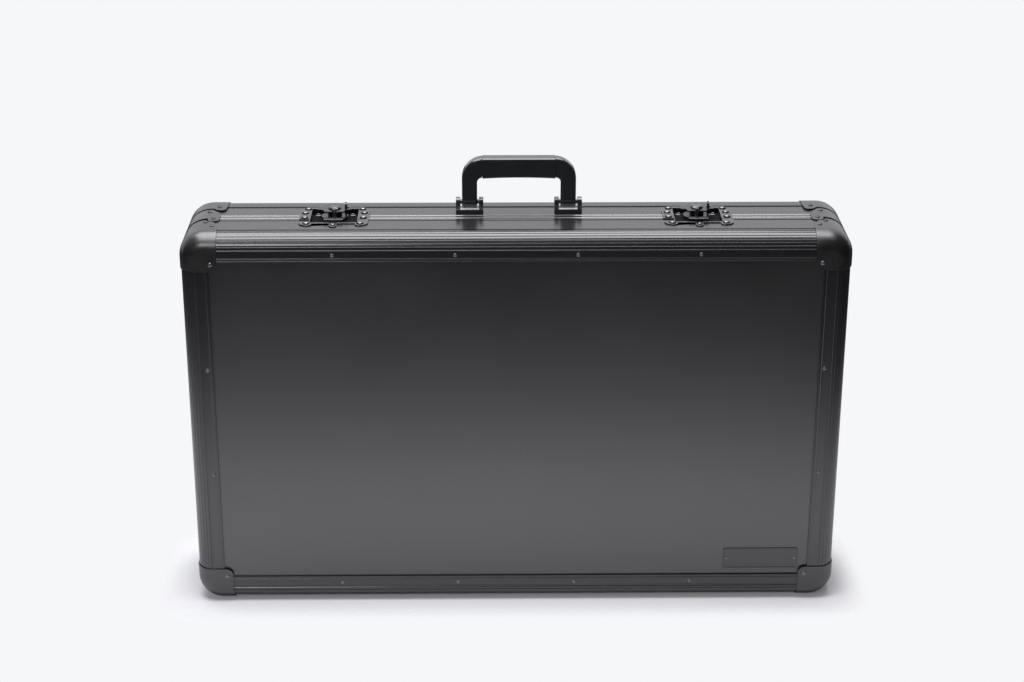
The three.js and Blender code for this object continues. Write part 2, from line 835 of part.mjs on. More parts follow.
// One pressed half of a latch dish: a flat rim with a well that is open at the parting line.
function dishHalf(shape, side, wellEnd) {
  const from = latchParting + (side * partingGap) / 2;
  const well = dishWellWidth / 2;
  const tubEnd = wellEnd + side * dishSheet;
  const rim = prism(shape, 'z', dishSeat, dishTop, fineSteps);
  const tub = block(
    [-well - dishSheet, Math.min(from, tubEnd), -dishFloorDepth - dishSheet],
    [well + dishSheet, Math.max(from, tubEnd), dishTop],
  );
  const open = from - side * overrun;
  const hollow = block(
    [-well, Math.min(open, wellEnd), -dishFloorDepth],
    [well, Math.max(open, wellEnd), overrun],
  );
  return cut(join(rim, tub), hollow);
}

// The base's dish, with the hole that the latch's post turns in.
function baseDish() {
  const hole = rod('z', rotorPostRadius + seatGap, -dishFloorDepth - overrun, 0);
  return cut(dishHalf(dishOutline(), 1, dishWellBack), hole);
}

// Keeper on the floor of the lid's dish: a foot with an upstand that the hook reaches over.
function keeper() {
  const floor = seatGap - dishFloorDepth;
  const front = -keeperReach - keeperFootLength + keeperThickness;
  const shape = outline([
    [front, floor],
    [-keeperReach + keeperThickness, floor],
    [-keeperReach + keeperThickness, dishTop],
    [-keeperReach, dishTop],
    [-keeperReach, floor + keeperFootThickness],
    [front, floor + keeperFootThickness],
  ]);
  return prism(shape, 'x', -keeperWidth / 2, keeperWidth / 2);
}

// The hook: a flat tail under the rotor, with a slot for the post and a cross slot for the eccentric
// pin, and a raised nose over the keeper. The cross slot leaves room for the pin's circular path.
function hook() {
  const throwRadius = hookTravel / 2;
  const postRoom = rotorPostRadius + seatGap;
  const tail = hookTravel + postRoom + hookTailWall;
  const raisedTop = hookRaised + hookThickness;
  const side = outline([
    [tail, hookBottom],
    [tail, hookTop],
    [-hookRampStart, hookTop],
    [-hookRampEnd, raisedTop],
    [-hookNoseReach + hookNoseLength, raisedTop],
    [-hookNoseReach + hookNoseLength, raisedTop + hookNoseHeight],
    [-hookNoseReach, raisedTop + hookNoseHeight],
    [-hookNoseReach, hookRaised],
    [-hookRampEnd - hookThickness / 2, hookRaised],
    [-hookRampStart - hookThickness / 2, hookBottom],
  ]);
  const body = prism(side, 'x', -hookWidth / 2, hookWidth / 2);
  const lag = Math.asin(2 / Math.PI);
  const drift = throwRadius * (Math.cos(lag) - 1) + (hookTravel * lag) / Math.PI;
  const slotHalf = drift + eccentricPinRadius + seatGap;
  const slotReach = throwRadius + eccentricPinRadius + seatGap;
  const cross = block(
    [-slotReach, throwRadius - slotHalf, hookBottom - overrun],
    [slotReach, throwRadius + slotHalf, hookTop + overrun],
  );
  const long = prism(
    roundedRectangle(-postRoom, postRoom, -postRoom, hookTravel + postRoom, postRoom - seatGap),
    'z', hookBottom - overrun, hookTop + overrun,
  );
  return cut(body, cross, long);
}

// The rotor: a disc that carries the padlock staple, a drum and on it a boss for the wings' pin. It
// turns on a post riveted under the dish, and an eccentric pin under it drives the hook.
function rotor() {
  const disc = rod('z', rotorRadius, rotorBottom, rotorTop, [0, 0], discSides);
  const headTop = -dishFloorDepth - dishSheet - seatGap;
  const post = rod('z', rotorPostRadius, headTop - rotorHeadThickness, rotorTop);
  const head = rod('z', rotorHeadRadius, headTop - rotorHeadThickness, headTop);
  const pin = rod(
    'z', eccentricPinRadius, hookBottom, rotorTop, [0, hookTravel / 2],
  );
  const bossTop = wingTop + bossProud;
  const bossProfile = [
    [0, rotorBottom],
    [bossRadius, rotorBottom],
    [bossRadius, bossTop - bossChamfer],
    [bossRadius - bossChamfer, bossTop],
    [0, bossTop],
  ];
  const drumTop = wingAxisHeight - wingKnuckleRadius - seatGap;
  const drum = rod('z', drumRadius, rotorBottom, drumTop, [0, 0], discSides);
  const bossShape = bossProfile.map(([r, h]) => new THREE.Vector2(r, h));
  const boss = solid(new THREE.LatheGeometry(bossShape, rodSides).rotateX(quarterTurn));
  const stapleShape = new THREE.Shape();
  stapleShape.moveTo(-stapleHalf, rotorBottom + rotorThickness / 2);
  stapleShape.lineTo(stapleHalf, rotorBottom + rotorThickness / 2);
  stapleShape.lineTo(stapleHalf, stapleHeight - stapleHalf);
  stapleShape.absarc(0, stapleHeight - stapleHalf, stapleHalf, 0, Math.PI, false);
  const staple = prism(
    stapleShape, 'x', stapleOffset - stapleThickness / 2, stapleOffset + stapleThickness / 2,
  );
  const stapleHole = rod(
    'x', stapleHoleRadius, 0, stapleOffset + overrun, [0, stapleHeight - stapleHoleDrop],
  );
  const pinHole = rod(
    'y', wingPinRadius + wingBoreGap, -rotorRadius, rotorRadius, [0, wingAxisHeight],
  );
  return cut(join(disc, post, head, pin, drum, boss, staple), stapleHole, pinHole);
}

// Plan of a wing that points to +X: wide at its root, then drawn in by a hollow curve to a rounded tip.
function wingPlan() {
  const root = wingKnuckleRadius + wingRootGap;
  const tip = wingLength - wingTipRadius;
  const waist = wingShoulder + (tip - wingShoulder) * wingWaistShare;
  const shape = new THREE.Shape();
  shape.moveTo(root, -wingRootHalf);
  shape.lineTo(wingShoulder, -wingRootHalf);
  shape.quadraticCurveTo(waist, -wingTipHalf, tip, -wingTipHalf);
  shape.absarc(tip, -wingTipHalf + wingTipRadius, wingTipRadius, -quarterTurn, 0, false);
  shape.absarc(tip, wingTipHalf - wingTipRadius, wingTipRadius, 0, quarterTurn, false);
  shape.quadraticCurveTo(waist, wingTipHalf, wingShoulder, wingRootHalf);
  shape.lineTo(root, wingRootHalf);
  return shape;
}

// One wing of the butterfly, hollowed round the boss. Its two knuckles turn on the ends of the pin:
// the left wing's next to the boss, the right wing's outside them. The right wing has the staple's slot.
function wing(isRight) {
  const plate = prism(wingPlan(), 'z', wingBottom, wingTop, roundSteps);
  const notchRadius = bossRadius + wingNotchGap;
  const notch = rod('z', notchRadius, wingBottom - overrun, wingTop + overrun);
  const from = notchRadius + seatGap / 2 + (isRight ? wingKnuckleLength + seatGap : 0);
  const to = from + wingKnuckleLength;
  const knuckles = [-1, 1].map((side) => {
    const low = Math.min(side * from, side * to);
    const high = Math.max(side * from, side * to);
    return join(
      rod('y', wingKnuckleRadius, low, high, [0, wingAxisHeight]),
      block([0, low, wingBottom], [wingKnuckleRadius + 2 * wingRootGap, high, wingTop]),
    );
  });
  const bore = rod(
    'y', wingPinRadius + wingBoreGap, -rotorRadius, rotorRadius, [0, wingAxisHeight],
  );
  const made = cut(join(plate, ...knuckles), bore, notch);
  if (!isRight) return solid(geometryOf(made).rotateZ(Math.PI));
  const near = stapleOffset - stapleThickness / 2 - stapleSlotGap;
  const reach = Math.hypot(stapleOffset + stapleThickness / 2, stapleHeight - wingAxisHeight);
  const slot = block(
    [near, -stapleHalf - stapleSlotGap, wingBottom - overrun],
    [reach + stapleSlotGap, stapleHalf + stapleSlotGap, wingTop + overrun],
  );
  return cut(made, slot);
}

// One latch, its group on the pivot in the plane of the frame's top.
function latch(name, side) {
  const group = new THREE.Group();
  group.position.set((side * latchSpan) / 2, latchPivotDepth, caseHeight);
  const pinHalf = bossRadius + wingNotchGap + 2 * (wingKnuckleLength + seatGap);
  const pin = rod('y', wingPinRadius, -pinHalf, pinHalf, [0, wingAxisHeight]);
  group.add(piece('latch_dish_' + name, baseDish(), finishes.latch));
  const catchDish = dishHalf(catchDishOutline(), -1, -dishWellFront);
  group.add(piece('lid_catch_dish_' + name, catchDish, finishes.latch));
  group.add(piece('lid_keeper_' + name, keeper(), finishes.latch));
  group.add(piece('latch_hook_' + name, hook(), finishes.latch));
  group.add(piece('latch_rotor_' + name, rotor(), finishes.latch));
  group.add(piece('latch_wing_pin_' + name, pin, finishes.steel));
  group.add(piece('latch_' + name + '_wing_left', wing(false), finishes.latch));
  group.add(piece('latch_' + name + '_wing_right', wing(true), finishes.latch));
  return group;
}

// A handle bracket in its own axes: a base with two ears that the bow's leg stands between.
function handleBracket() {
  const half = bracketDepth / 2;
  const side = bracketEarHalf;
  const round = bracketEarRound;
  const ear = new THREE.Shape();
  ear.moveTo(-side, dishSeat);
  ear.lineTo(side, dishSeat);
  ear.absarc(side - round, handlePinHeight, round, 0, quarterTurn, false);
  ear.absarc(-side + round, handlePinHeight, round, quarterTurn, Math.PI, false);
  const outer = bracketWidth / 2;
  const inner = outer - bracketEar;
  const bore = rod(
    'x', handlePinRadius + handleBoreGap, -outer - overrun, outer + overrun, [0, handlePinHeight],
  );
  const whole = join(
    block([-outer, -half, dishSeat], [outer, half, bracketBaseHeight]),
    prism(ear, 'x', -outer, -inner, roundSteps),
    prism(ear, 'x', inner, outer, roundSteps),
  );
  return cut(whole, bore);
}

// The bow as seen from the front: two legs and a bar with rounded corners.
function bowFront() {
  const outer = (handleLegSpan + handleLegWidth) / 2;
  const inner = (handleLegSpan - handleLegWidth) / 2;
  const under = handleTop - handleBarHeight;
  const foot = handlePinHeight - handleEyeRadius;
  const hollow = handleInnerRadius;
  const round = handleCornerRadius;
  const shape = new THREE.Shape();
  shape.moveTo(-outer, foot);
  shape.lineTo(-inner, foot);
  shape.absarc(-inner + hollow, under - hollow, hollow, Math.PI, quarterTurn, true);
  shape.absarc(inner - hollow, under - hollow, hollow, quarterTurn, 0, true);
  shape.lineTo(inner, foot);
  shape.lineTo(outer, foot);
  shape.absarc(outer - round, handleTop - round, round, 0, quarterTurn, false);
  shape.absarc(-outer + round, handleTop - round, round, quarterTurn, Math.PI, false);
  return shape;
}

// The bow as seen from its end: full thickness above, drawn in to a round eye at the pin.
function bowSide() {
  const half = handleThickness / 2;
  const round = handleEdgeRound;
  const taper = handlePinHeight + handleTaperHeight;
  const shape = new THREE.Shape();
  shape.absarc(0, handlePinHeight, handleEyeRadius, Math.PI, 2 * Math.PI, false);
  shape.lineTo(half, taper);
  shape.lineTo(half, handleTop - round);
  shape.absarc(half - round, handleTop - round, round, 0, quarterTurn, false);
  shape.absarc(-half + round, handleTop - round, round, quarterTurn, Math.PI, false);
  shape.lineTo(-half, taper);
  return shape;
}

// The bow, with an eye bored for the pin in each leg and its bar drawn in where the grip goes round it.
function handleBow() {
  const outer = (handleLegSpan + handleLegWidth) / 2 + overrun;
  const front = prism(bowFront(), 'y', -handleThickness, handleThickness, roundSteps);
  const side = prism(bowSide(), 'x', -outer, outer);
  const bore = rod('x', handlePinRadius + handleBoreGap, -outer, outer, [0, handlePinHeight]);
  const end = gripLength / 2 + seatGap;
  const above = block(
    [-end, -handleThickness, gripHoleTop - seatGap],
    [end, handleThickness, handleTop + overrun],
  );
  const below = block(
    [-end, -handleThickness, gripLow],
    [end, handleThickness, gripHoleLow + seatGap],
  );
  return cut(front.intersect(side), bore, above, below);
}

// Grip sleeve round the bow's bar, level with the bow above and with a shallow arch under it for the
// fingers.
function handleGrip() {
  const half = handleThickness / 2 + seatGap;
  const under = gripHoleLow;
  const over = gripHoleTop;
  const low = gripLow;
  const side = half + gripSide;
  const end = gripLength / 2;
  const sleeve = prism(roundedRectangle(-side, side, low, handleTop, gripRound), 'x', -end, end);
  const round = handleEdgeRound / 2;
  const bar = new THREE.Shape();
  bar.moveTo(-half, under);
  bar.lineTo(half, under);
  bar.absarc(half - round, over - round, round, 0, quarterTurn, false);
  bar.absarc(-half + round, over - round, round, quarterTurn, Math.PI, false);
  const hole = prism(bar, 'x', -end - overrun, end + overrun);
  const arch = new THREE.Shape();
  arch.moveTo(-end, low - overrun);
  arch.lineTo(end, low - overrun);
  arch.lineTo(end, low);
  arch.quadraticCurveTo(0, low + 2 * gripArch, -end, low);
  return cut(sleeve, hole, prism(arch, 'y', -side - overrun, side + overrun, fineSteps));
}

// The handle, its group on the frame's top in the middle of the bow.
function handle() {
  const group = new THREE.Group();
  group.position.set(handleShift, handleDepth, caseHeight);
  group.add(piece('handle_bow', handleBow(), finishes.plastic));
  group.add(piece('handle_grip', handleGrip(), finishes.grip));
  for (const [name, side] of [['left', -1], ['right', 1]]) {
    const x = (side * handleLegSpan) / 2;
    const bracket = piece('handle_bracket_' + name, handleBracket(), finishes.plastic);
    const pinHalf = bracketWidth / 2;
    const pin = rod('x', handlePinRadius, -pinHalf, pinHalf, [0, handlePinHeight]);
    const pinMesh = piece('handle_pin_' + name, pin, finishes.steel);
    bracket.position.x = x;
    pinMesh.position.x = x;
    group.add(bracket, pinMesh);
  }
  return group;
}

// The lid without its hardware.
function lid() {
  const group = new THREE.Group();
  group.add(panel('lid_panel', panelFace, panelBack));
  group.add(...frameBars(true));
  group.add(...corners.map((corner) => corner.lid));
  group.add(lidFoam());
  return group;
}

// The base without its hardware.
function base() {
  const group = new THREE.Group();
  group.add(panel('base_panel', caseDepth - panelBack, caseDepth - panelFace));
  group.add(...frameBars(false));
  group.add(...corners.map((corner) => corner.cap));
  group.add(...corners.map((corner) => corner.brace));
  group.add(...baseFoam());
  group.add(...rubberFeet());
  return group;
}

const controllerCase = new THREE.Group();
controllerCase.name = 'controller_case';
controllerCase.position.set(0, -middleY, capProud);
controllerCase.add(lid(), base(), handle());
for (const [name, side] of [['left', -1], ['right', 1]]) {
  controllerCase.add(latch(name, side), hinge(name, side));
}

const root = new THREE.Group();
root.add(controllerCase);

export default root;
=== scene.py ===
"""A hard case for a controller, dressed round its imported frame: ribbed edge bars, pressed corners,
butterfly latches, a carrying handle, hinges, feet and foam."""

import json
import math

import bmesh
import bpy
from mathutils import Matrix, Vector


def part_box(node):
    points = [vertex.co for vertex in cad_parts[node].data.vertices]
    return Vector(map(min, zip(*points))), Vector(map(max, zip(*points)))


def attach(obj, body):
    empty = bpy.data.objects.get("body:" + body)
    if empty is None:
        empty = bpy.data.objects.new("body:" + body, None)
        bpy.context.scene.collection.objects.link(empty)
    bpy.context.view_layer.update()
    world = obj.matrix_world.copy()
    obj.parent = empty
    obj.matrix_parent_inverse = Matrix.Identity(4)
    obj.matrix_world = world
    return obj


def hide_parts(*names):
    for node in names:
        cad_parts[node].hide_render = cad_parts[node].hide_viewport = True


bl_info = {
    "name": "Controller case",
    "version": (1, 0, 0),
    "blender": (4, 5, 0),
    "location": "View3D > Sidebar > Case",
    "description": "Dresses a controller case piece by piece round its packed frame",
    "category": "Add Mesh",
}

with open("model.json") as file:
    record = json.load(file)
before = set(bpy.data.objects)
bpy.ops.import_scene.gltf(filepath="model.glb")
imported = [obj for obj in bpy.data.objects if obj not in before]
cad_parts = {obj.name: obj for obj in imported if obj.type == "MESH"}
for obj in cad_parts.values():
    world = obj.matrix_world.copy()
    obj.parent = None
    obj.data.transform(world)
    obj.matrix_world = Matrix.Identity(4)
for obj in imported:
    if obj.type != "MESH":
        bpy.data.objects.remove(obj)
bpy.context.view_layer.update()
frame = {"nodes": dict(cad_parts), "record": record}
NODES = frame["nodes"]
BODY_OF = {
    node: body
    for body, nodes in frame["record"]["behaviour"]["bodies"].items()
    for node in nodes
}

MM = 0.001
QUARTER = math.pi / 2
CORNERS = {
    "top_left": (-1, 1),
    "top_right": (1, 1),
    "bottom_left": (-1, -1),
    "bottom_right": (1, -1),
}
SIDES = {"left": -1, "right": 1}

# Where the case lies: its front and back faces, its underside and top, and half its width.
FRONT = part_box("lid_frame_left")[0].y
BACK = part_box("base_frame_left")[1].y
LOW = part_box("lid_frame_bottom")[0].z
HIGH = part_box("lid_frame_top")[1].z
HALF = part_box("lid_frame_right")[1].x
DEPTH = (BACK - FRONT) / MM
HEIGHT = (HIGH - LOW) / MM

# Sizes that the frame was drawn with, in millimetres.
LID_DEPTH = 55.5
BEADS = [(62.2, 65.4), (71.0, 73.8)]
# How much paler the bead crests are painted: a painted highlight.
BEAD_HIGHLIGHT_PAINT = 5.0
EDGE_RADIUS = 19.5
CORNER_RADIUS = 28.0
RIB_COUNT = 7
RIB_PITCH = QUARTER / (RIB_COUNT + 0.5)
CAP_PROUD = 1.3
CAP_SHEET = 1.0
LATCH_X = 209.0
LATCH_Y = 76.0
HANDLE_X = 3.5
HANDLE_Y = 85.0
PIN_HEIGHT = 12.3
LEG_X = 57.0


def at(x, depth, height):
    """The place x from the middle, depth behind the front face and height above the underside."""
    return Vector((x * MM, FRONT + depth * MM, LOW + height * MM))


def length(name, description, default):
    return bpy.props.FloatProperty(
        name=name, description=description, default=default, unit="LENGTH"
    )


def angle(name, description, degrees):
    return bpy.props.FloatProperty(
        name=name, description=description, default=math.radians(degrees), subtype="ANGLE"
    )


def power(name, description, default):
    return bpy.props.FloatProperty(
        name=name, description=description, default=default, unit="POWER"
    )


def colour(name, description, default):
    return bpy.props.FloatVectorProperty(
        name=name, description=description, default=default, subtype="COLOR", size=3
    )


class CaseSizes(bpy.types.PropertyGroup):
    """Sizes of the details that dress the frame."""

    rib_crown: length(
        "Rib crown", "How far the middle of each rib stands above its sides", 0.00008
    )
    rivet_radius: length(
        "Corner rivet radius", "Radius of the domed rivets in the corner pressings", 0.0026
    )
    screw_radius: length(
        "Face rivet radius", "Radius of the small rivets along the edge bars", 0.0023
    )
    latch_rivet_radius: length(
        "Latch rivet radius", "Radius of the rivets round the latch dishes", 0.0042
    )
    tab_round: length(
        "Tab corner radius", "Radius of the rounded corners of the pressings' tabs", 0.008
    )
    handle_round: length("Handle edge radius", "Radius of the bow's edges", 0.0026)
    plate_width: length(
        "Blank plate width", "Width of the blank plate low on the lid", 0.090
    )
    plate_height: length(
        "Blank plate height", "Height of the blank plate low on the lid", 0.0268
    )
    foam_pitch: length(
        "Foam peak spacing", "Distance between the peaks of the lid's foam", 0.0345
    )
    foam_peak: length("Foam peak height", "Height of the peaks of the lid's foam", 0.009)


class CaseColours(bpy.types.PropertyGroup):
    """Colours of the finishes."""

    anodised: colour(
        "Edge bars", "Colour of the anodised edge bars", (0.012, 0.012, 0.0135)
    )
    panel: colour("Panels", "Colour of the laminated panels", (0.012, 0.012, 0.013))
    pressing: colour(
        "Corner pressings", "Colour of the plated corner pressings", (0.011, 0.011, 0.012)
    )
    latch: colour("Latches", "Colour of the plated latches", (0.15, 0.15, 0.16))
    steel: colour(
        "Bright steel", "Colour of the pins, the hinges and the feet's screws", (0.62, 0.62, 0.63)
    )
    plastic: colour("Handle", "Colour of the moulded handle", (0.018, 0.019, 0.020))
    foam: colour("Foam", "Colour of the foam lining", (0.030, 0.030, 0.032))
    rubber: colour("Feet", "Colour of the rubber feet", (0.018, 0.018, 0.018))
    # The pads' pale colour is a painted reflection.
    pad: colour("Handle pads", "Colour of the pads under the legs", (0.40, 0.40, 0.40))


class CaseStage(bpy.types.PropertyGroup):
    """The camera, the floor and the lamps."""

    camera_place: bpy.props.FloatVectorProperty(
        name="Camera place",
        description="Where the camera stands",
        subtype="TRANSLATION",
        unit="LENGTH",
        size=3,
        default=(-0.0343, -2.28095, 1.2372),
    )
    camera_yaw: angle("Camera yaw", "How far the camera is turned to the right", 0.751)
    camera_pitch: angle("Camera pitch", "How far the camera looks down", 22.14)
    camera_roll: angle("Camera roll", "How far the camera is tilted about its own axis", 0.08)
    camera_lens: bpy.props.FloatProperty(
        name="Camera lens",
        description="Focal length on a sensor 36 mm wide",
        default=73.26,
        unit="CAMERA",
    )
    floor_colour: colour("Floor", "Colour of the floor near the case", (0.79, 0.79, 0.84))
    backdrop_colour: colour("Backdrop", "Colour of the background", (0.925, 0.93, 0.95))
    overhead_power: power("Overhead lamp", "Power of the soft lamp above the case", 40.0)
    floor_power: power(
        "Floor lamp", "Power of the soft lamp that lights the floor round the case", 18.0
    )
    front_power: power("Front lamp", "Power of the small lamp at the front left", 13.0)
    fill_strength: bpy.props.FloatProperty(
        name="Fill light",
        description="Strength of the even light from all round",
        default=0.30,
    )


# Finishes.


def put(tree, node, values):
    """Puts numbers, colours or other nodes' results on a node's inputs, by name or number."""
    for key, value in values.items():
        if isinstance(value, bpy.types.NodeSocket):
            tree.links.new(value, node.inputs[key])
        else:
            node.inputs[key].default_value = value


def add_node(tree, kind, **values):
    """A node of a kind with its inputs filled. Input names are written with _ for a space."""
    node = tree.nodes.new(kind)
    put(tree, node, {name.replace("_", " "): value for name, value in values.items()})
    return node


def shader_of(material):
    return material.node_tree.nodes["Principled BSDF"]


def new_material(name):
    material = bpy.data.materials.new(name)
    material.use_nodes = True
    return material


def new_finish(name, colour, roughness, metallic=0.0, ior=1.5):
    """A material with its plain values on the shader's own sockets."""
    material = new_material(name)
    plain = {"Base Color": (*colour, 1), "Roughness": roughness, "Metallic": metallic, "IOR": ior}
    put(material.node_tree, shader_of(material), plain)
    material.diffuse_color = (*colour, 1)
    return material


def add_math(tree, operation, *values):
    """A math node on numbers and on other nodes' results."""
    node = tree.nodes.new("ShaderNodeMath")
    node.operation = operation
    put(tree, node, dict(enumerate(values)))
    return node.outputs[0]


def own_place(tree):
    """The place of a point on its own piece."""
    return tree.nodes.new("ShaderNodeTexCoord").outputs["Object"]


def place_along(tree, shift=(0, 0, 0)):
    """The piece's own place as separate results X, Y and Z, counted from a shifted middle."""
    moved = tree.nodes.new("ShaderNodeVectorMath")
    moved.operation = "SUBTRACT"
    put(tree, moved, {0: own_place(tree), 1: shift})
    return add_node(tree, "ShaderNodeSeparateXYZ", Vector=moved.outputs["Vector"]).outputs


def scale_colour(material, factor):
    """Multiplies the colour that reaches the shader by a node's result."""
    tree = material.node_tree
    scaled = tree.nodes.new("ShaderNodeVectorMath")
    scaled.operation = "SCALE"
    colour_in = shader_of(material).inputs["Base Color"]
    put(tree, scaled, {0: colour_in.links[0].from_socket, "Scale": factor})
    tree.links.new(scaled.outputs["Vector"], colour_in)


def add_noise(material, scale, stretch=(1, 1, 1), detail=3.0):
    """A noise on the piece's own place, drawn out along an axis where its stretch is small."""
    tree = material.node_tree
    drawn = add_node(tree, "ShaderNodeMapping", Vector=own_place(tree), Scale=stretch)
    drawn_place = drawn.outputs["Vector"]
    noise = add_node(tree, "ShaderNodeTexNoise", Vector=drawn_place, Scale=scale, Detail=detail)
    return noise.outputs["Fac"]


def add_cells(material, scale):
    """Open cells on the piece's own place."""
    tree = material.node_tree
    cells = add_node(tree, "ShaderNodeTexVoronoi", Vector=own_place(tree), Scale=scale)
    return cells.outputs["Distance"]


def spread(tree, source, start, end, low, high=1.0, way="LINEAR"):
    """Spreads a result that runs from start to end over low to high."""
    node = add_node(
        tree,
        "ShaderNodeMapRange",
        Value=source,
        From_Min=start,
        From_Max=end,
        To_Min=low,
        To_Max=high,
    )
    node.interpolation_type = way
    return node.outputs["Result"]


# The part of a noise's range where most of it lies.
NOISE_LOW = 0.3
NOISE_HIGH = 0.7


def vary_roughness(material, source, low, high):
    tree = material.node_tree
    rough = spread(tree, source, NOISE_LOW, NOISE_HIGH, low, high)
    tree.links.new(rough, shader_of(material).inputs["Roughness"])


def vary_colour(material, source, dark, light, start=NOISE_LOW, end=NOISE_HIGH):
    tree = material.node_tree
    ramp = add_node(tree, "ShaderNodeValToRGB", Fac=source)
    for element, position, tone in zip(ramp.color_ramp.elements, (start, end), (dark, light)):
        element.position = position
        element.color = (*tone, 1)
    tree.links.new(ramp.outputs["Color"], shader_of(material).inputs["Base Color"])


def add_bump(material, source, strength, distance):
    """Relief of a given depth. A second call adds finer relief on top of the first."""
    tree = material.node_tree
    bump = add_node(
        tree, "ShaderNodeBump", Height=source, Strength=strength, Distance=distance
    )
    normal = shader_of(material).inputs["Normal"]
    if normal.is_linked:
        tree.links.new(normal.links[0].from_socket, bump.inputs["Normal"])
    tree.links.new(bump.outputs["Normal"], normal)


def shade(colour, share):
    return tuple(share * part for part in colour)


def painted_bead_highlights(material):
    """Paints the crests of the two beads beside the parting paler, as a painted highlight for the
    bright lines along them."""
    tree = material.node_tree
    depth = place_along(tree)["Y"]
    crests = [
        add_math(
            tree, "COMPARE", depth, FRONT + (near + far) / 2 * MM, (far - near) / 2 * MM
        )
        for near, far in BEADS
    ]
    on_crest = add_math(tree, "ADD", *crests)
    scale_colour(material, add_math(tree, "MULTIPLY_ADD", on_crest, BEAD_HIGHLIGHT_PAINT, 1.0))


def anodised_finish(name, colour, stretch):
    """Black anodising over fine drawing lines that run along the bar."""
    material = new_finish(name, colour, 0.22, 0.0, 1.77)
    lines = add_noise(material, 2400, stretch, 3)
    bands = add_noise(material, 60, stretch, 2)
    vary_colour(material, bands, shade(colour, 0.8), shade(colour, 1.25))
    # Painted highlight on the crests of the two beads.
    painted_bead_highlights(material)
    vary_roughness(material, lines, 0.205, 0.24)
    add_bump(material, lines, 0.1, 0.00001)
    return material


def panel_finish(colour):
    """Laminate with a fine pebble, a little cloudy."""
    material = new_finish("laminate", colour, 0.3, 0.0, 1.95)
    clouds = add_noise(material, 7, detail=5)
    pebble = add_noise(material, 1500, detail=2)
    vary_colour(material, clouds, shade(colour, 0.9), shade(colour, 1.15))
    vary_roughness(material, clouds, 0.27, 0.32)
    add_bump(material, pebble, 0.3, 0.00005)
    return material


def pressing_finish(name, colour, roughness, metallic, ior):
    """Plated sheet metal with a faint orange peel and patches of wear."""
    material = new_finish(name, colour, roughness, metallic, ior)
    peel = add_noise(material, 420, detail=2)
    wear = add_noise(material, 45, detail=6)
    vary_colour(material, wear, shade(colour, 0.85), shade(colour, 1.3), 0.35, 0.8)
    vary_roughness(material, wear, roughness - 0.05, roughness + 0.07)
    add_bump(material, peel, 0.12, 0.00008)
    return material


# The share of its colour that a latch's dish keeps in its well, where its colour is darkened as
# painted shade.
WELL_PAINTED_SHADE = 0.12


def dish_finish(colour):
    """Plated sheet metal on the rim of a latch's dish; in its well it is matt and painted nearly
    black, as painted shade."""
    material = pressing_finish("dish_plated", colour, 0.26, 1.0, 1.5)
    tree = material.node_tree
    height = place_along(tree)["Z"]
    # Painted shade: the colour darkens below the dish's deck.
    level = spread(tree, height, HIGH - 0.6 * MM, HIGH + 0.3 * MM, WELL_PAINTED_SHADE)
    scale_colour(material, level)
    matt = add_math(tree, "SUBTRACT", 1.0, level)
    roughness_in = shader_of(material).inputs["Roughness"]
    rougher = add_math(tree, "MAXIMUM", matt, roughness_in.links[0].from_socket)
    tree.links.new(rougher, roughness_in)
    return material


def steel_finish(name, colour, roughness):
    """Bright steel with fine turning marks."""
    material = new_finish(name, colour, roughness, 1.0)
    marks = add_noise(material, 1600, (1, 0.2, 1), 3)
    vary_colour(material, marks, shade(colour, 0.8), colour)
    vary_roughness(material, marks, roughness - 0.06, roughness + 0.08)
    return material


def moulded_finish(name, colour, roughness, grain, depth, ior=1.5):
    """Moulded plastic or rubber with a grain of a given depth."""
    material = new_finish(name, colour, roughness, 0.0, ior)
    pores = add_noise(material, grain, detail=3)
    smears = add_noise(material, 30, detail=4)
    vary_colour(material, smears, shade(colour, 0.85), shade(colour, 1.2))
    vary_roughness(material, smears, roughness * 0.85, roughness * 1.2)
    add_bump(material, pores, 0.3, depth)
    return material


def foam_finish(colour):
    """Open-cell foam, matt, with pits where its cells are cut, painted darker in the pits as shade.
    """
    material = new_finish("open_cell_foam", colour, 0.95, 0.0, 1.4)
    cells = add_cells(material, 900)
    clumps = add_noise(material, 220, detail=6)
    # Painted shade: darker in the pits of the cells.
    vary_colour(material, cells, shade(colour, 0.5), shade(colour, 1.5), 0.1, 0.6)
    add_bump(material, clumps, 0.5, 0.0006)
    add_bump(material, cells, 0.6, 0.0004)
    return material


def finishes():
    """Every finish by name, made once."""
    if "laminate" in bpy.data.materials:
        return bpy.data.materials
    colours = bpy.context.scene.case_colours
    pressing, latch, steel = tuple(colours.pressing), tuple(colours.latch), tuple(colours.steel)
    anodised, plastic = tuple(colours.anodised), tuple(colours.plastic)
    anodised_finish("anodised_across", anodised, (0.004, 1, 1))
    anodised_finish("anodised_upright", anodised, (1, 1, 0.004))
    panel_finish(tuple(colours.panel))
    pressing_finish("pressed_black", pressing, 0.31, 0.0, 1.82)
    pressing_finish("rivet_black", pressing, 0.30, 0.0, 1.7)
    dish_finish(latch)
    pressing_finish("black_nickel", shade(latch, 0.6), 0.24, 1.0, 1.5)
    pressing_finish("rivet_plated", shade(latch, 1.6), 0.34, 1.0, 1.5)
    steel_finish("bright_steel", steel, 0.24)
    steel_finish("hinge_steel", shade(steel, 0.55), 0.32)
    moulded_finish("gloss_plastic", plastic, 0.13, 700, 0.00001, 1.8)
    moulded_finish("grip_plastic", plastic, 0.14, 1100, 0.00001, 1.8)
    moulded_finish("satin_plate", shade(pressing, 0.9), 0.32, 900, 0.00003, 1.83)
    moulded_finish("foot_rubber", tuple(colours.rubber), 0.65, 500, 0.0001)
    # Matt near-black for painted shade, in the corner joints and round the latch rivets.
    moulded_finish("painted_shade_matt", shade(colours.rubber, 0.4), 0.95, 500, 0.00002, 1.2)
    # Pale colour that paints a reflection on the bracket pads.
    moulded_finish("painted_reflection_finish", tuple(colours.pad), 0.5, 900, 0.00002)
    foam_finish(tuple(colours.foam))
    return bpy.data.materials


# Shaping.


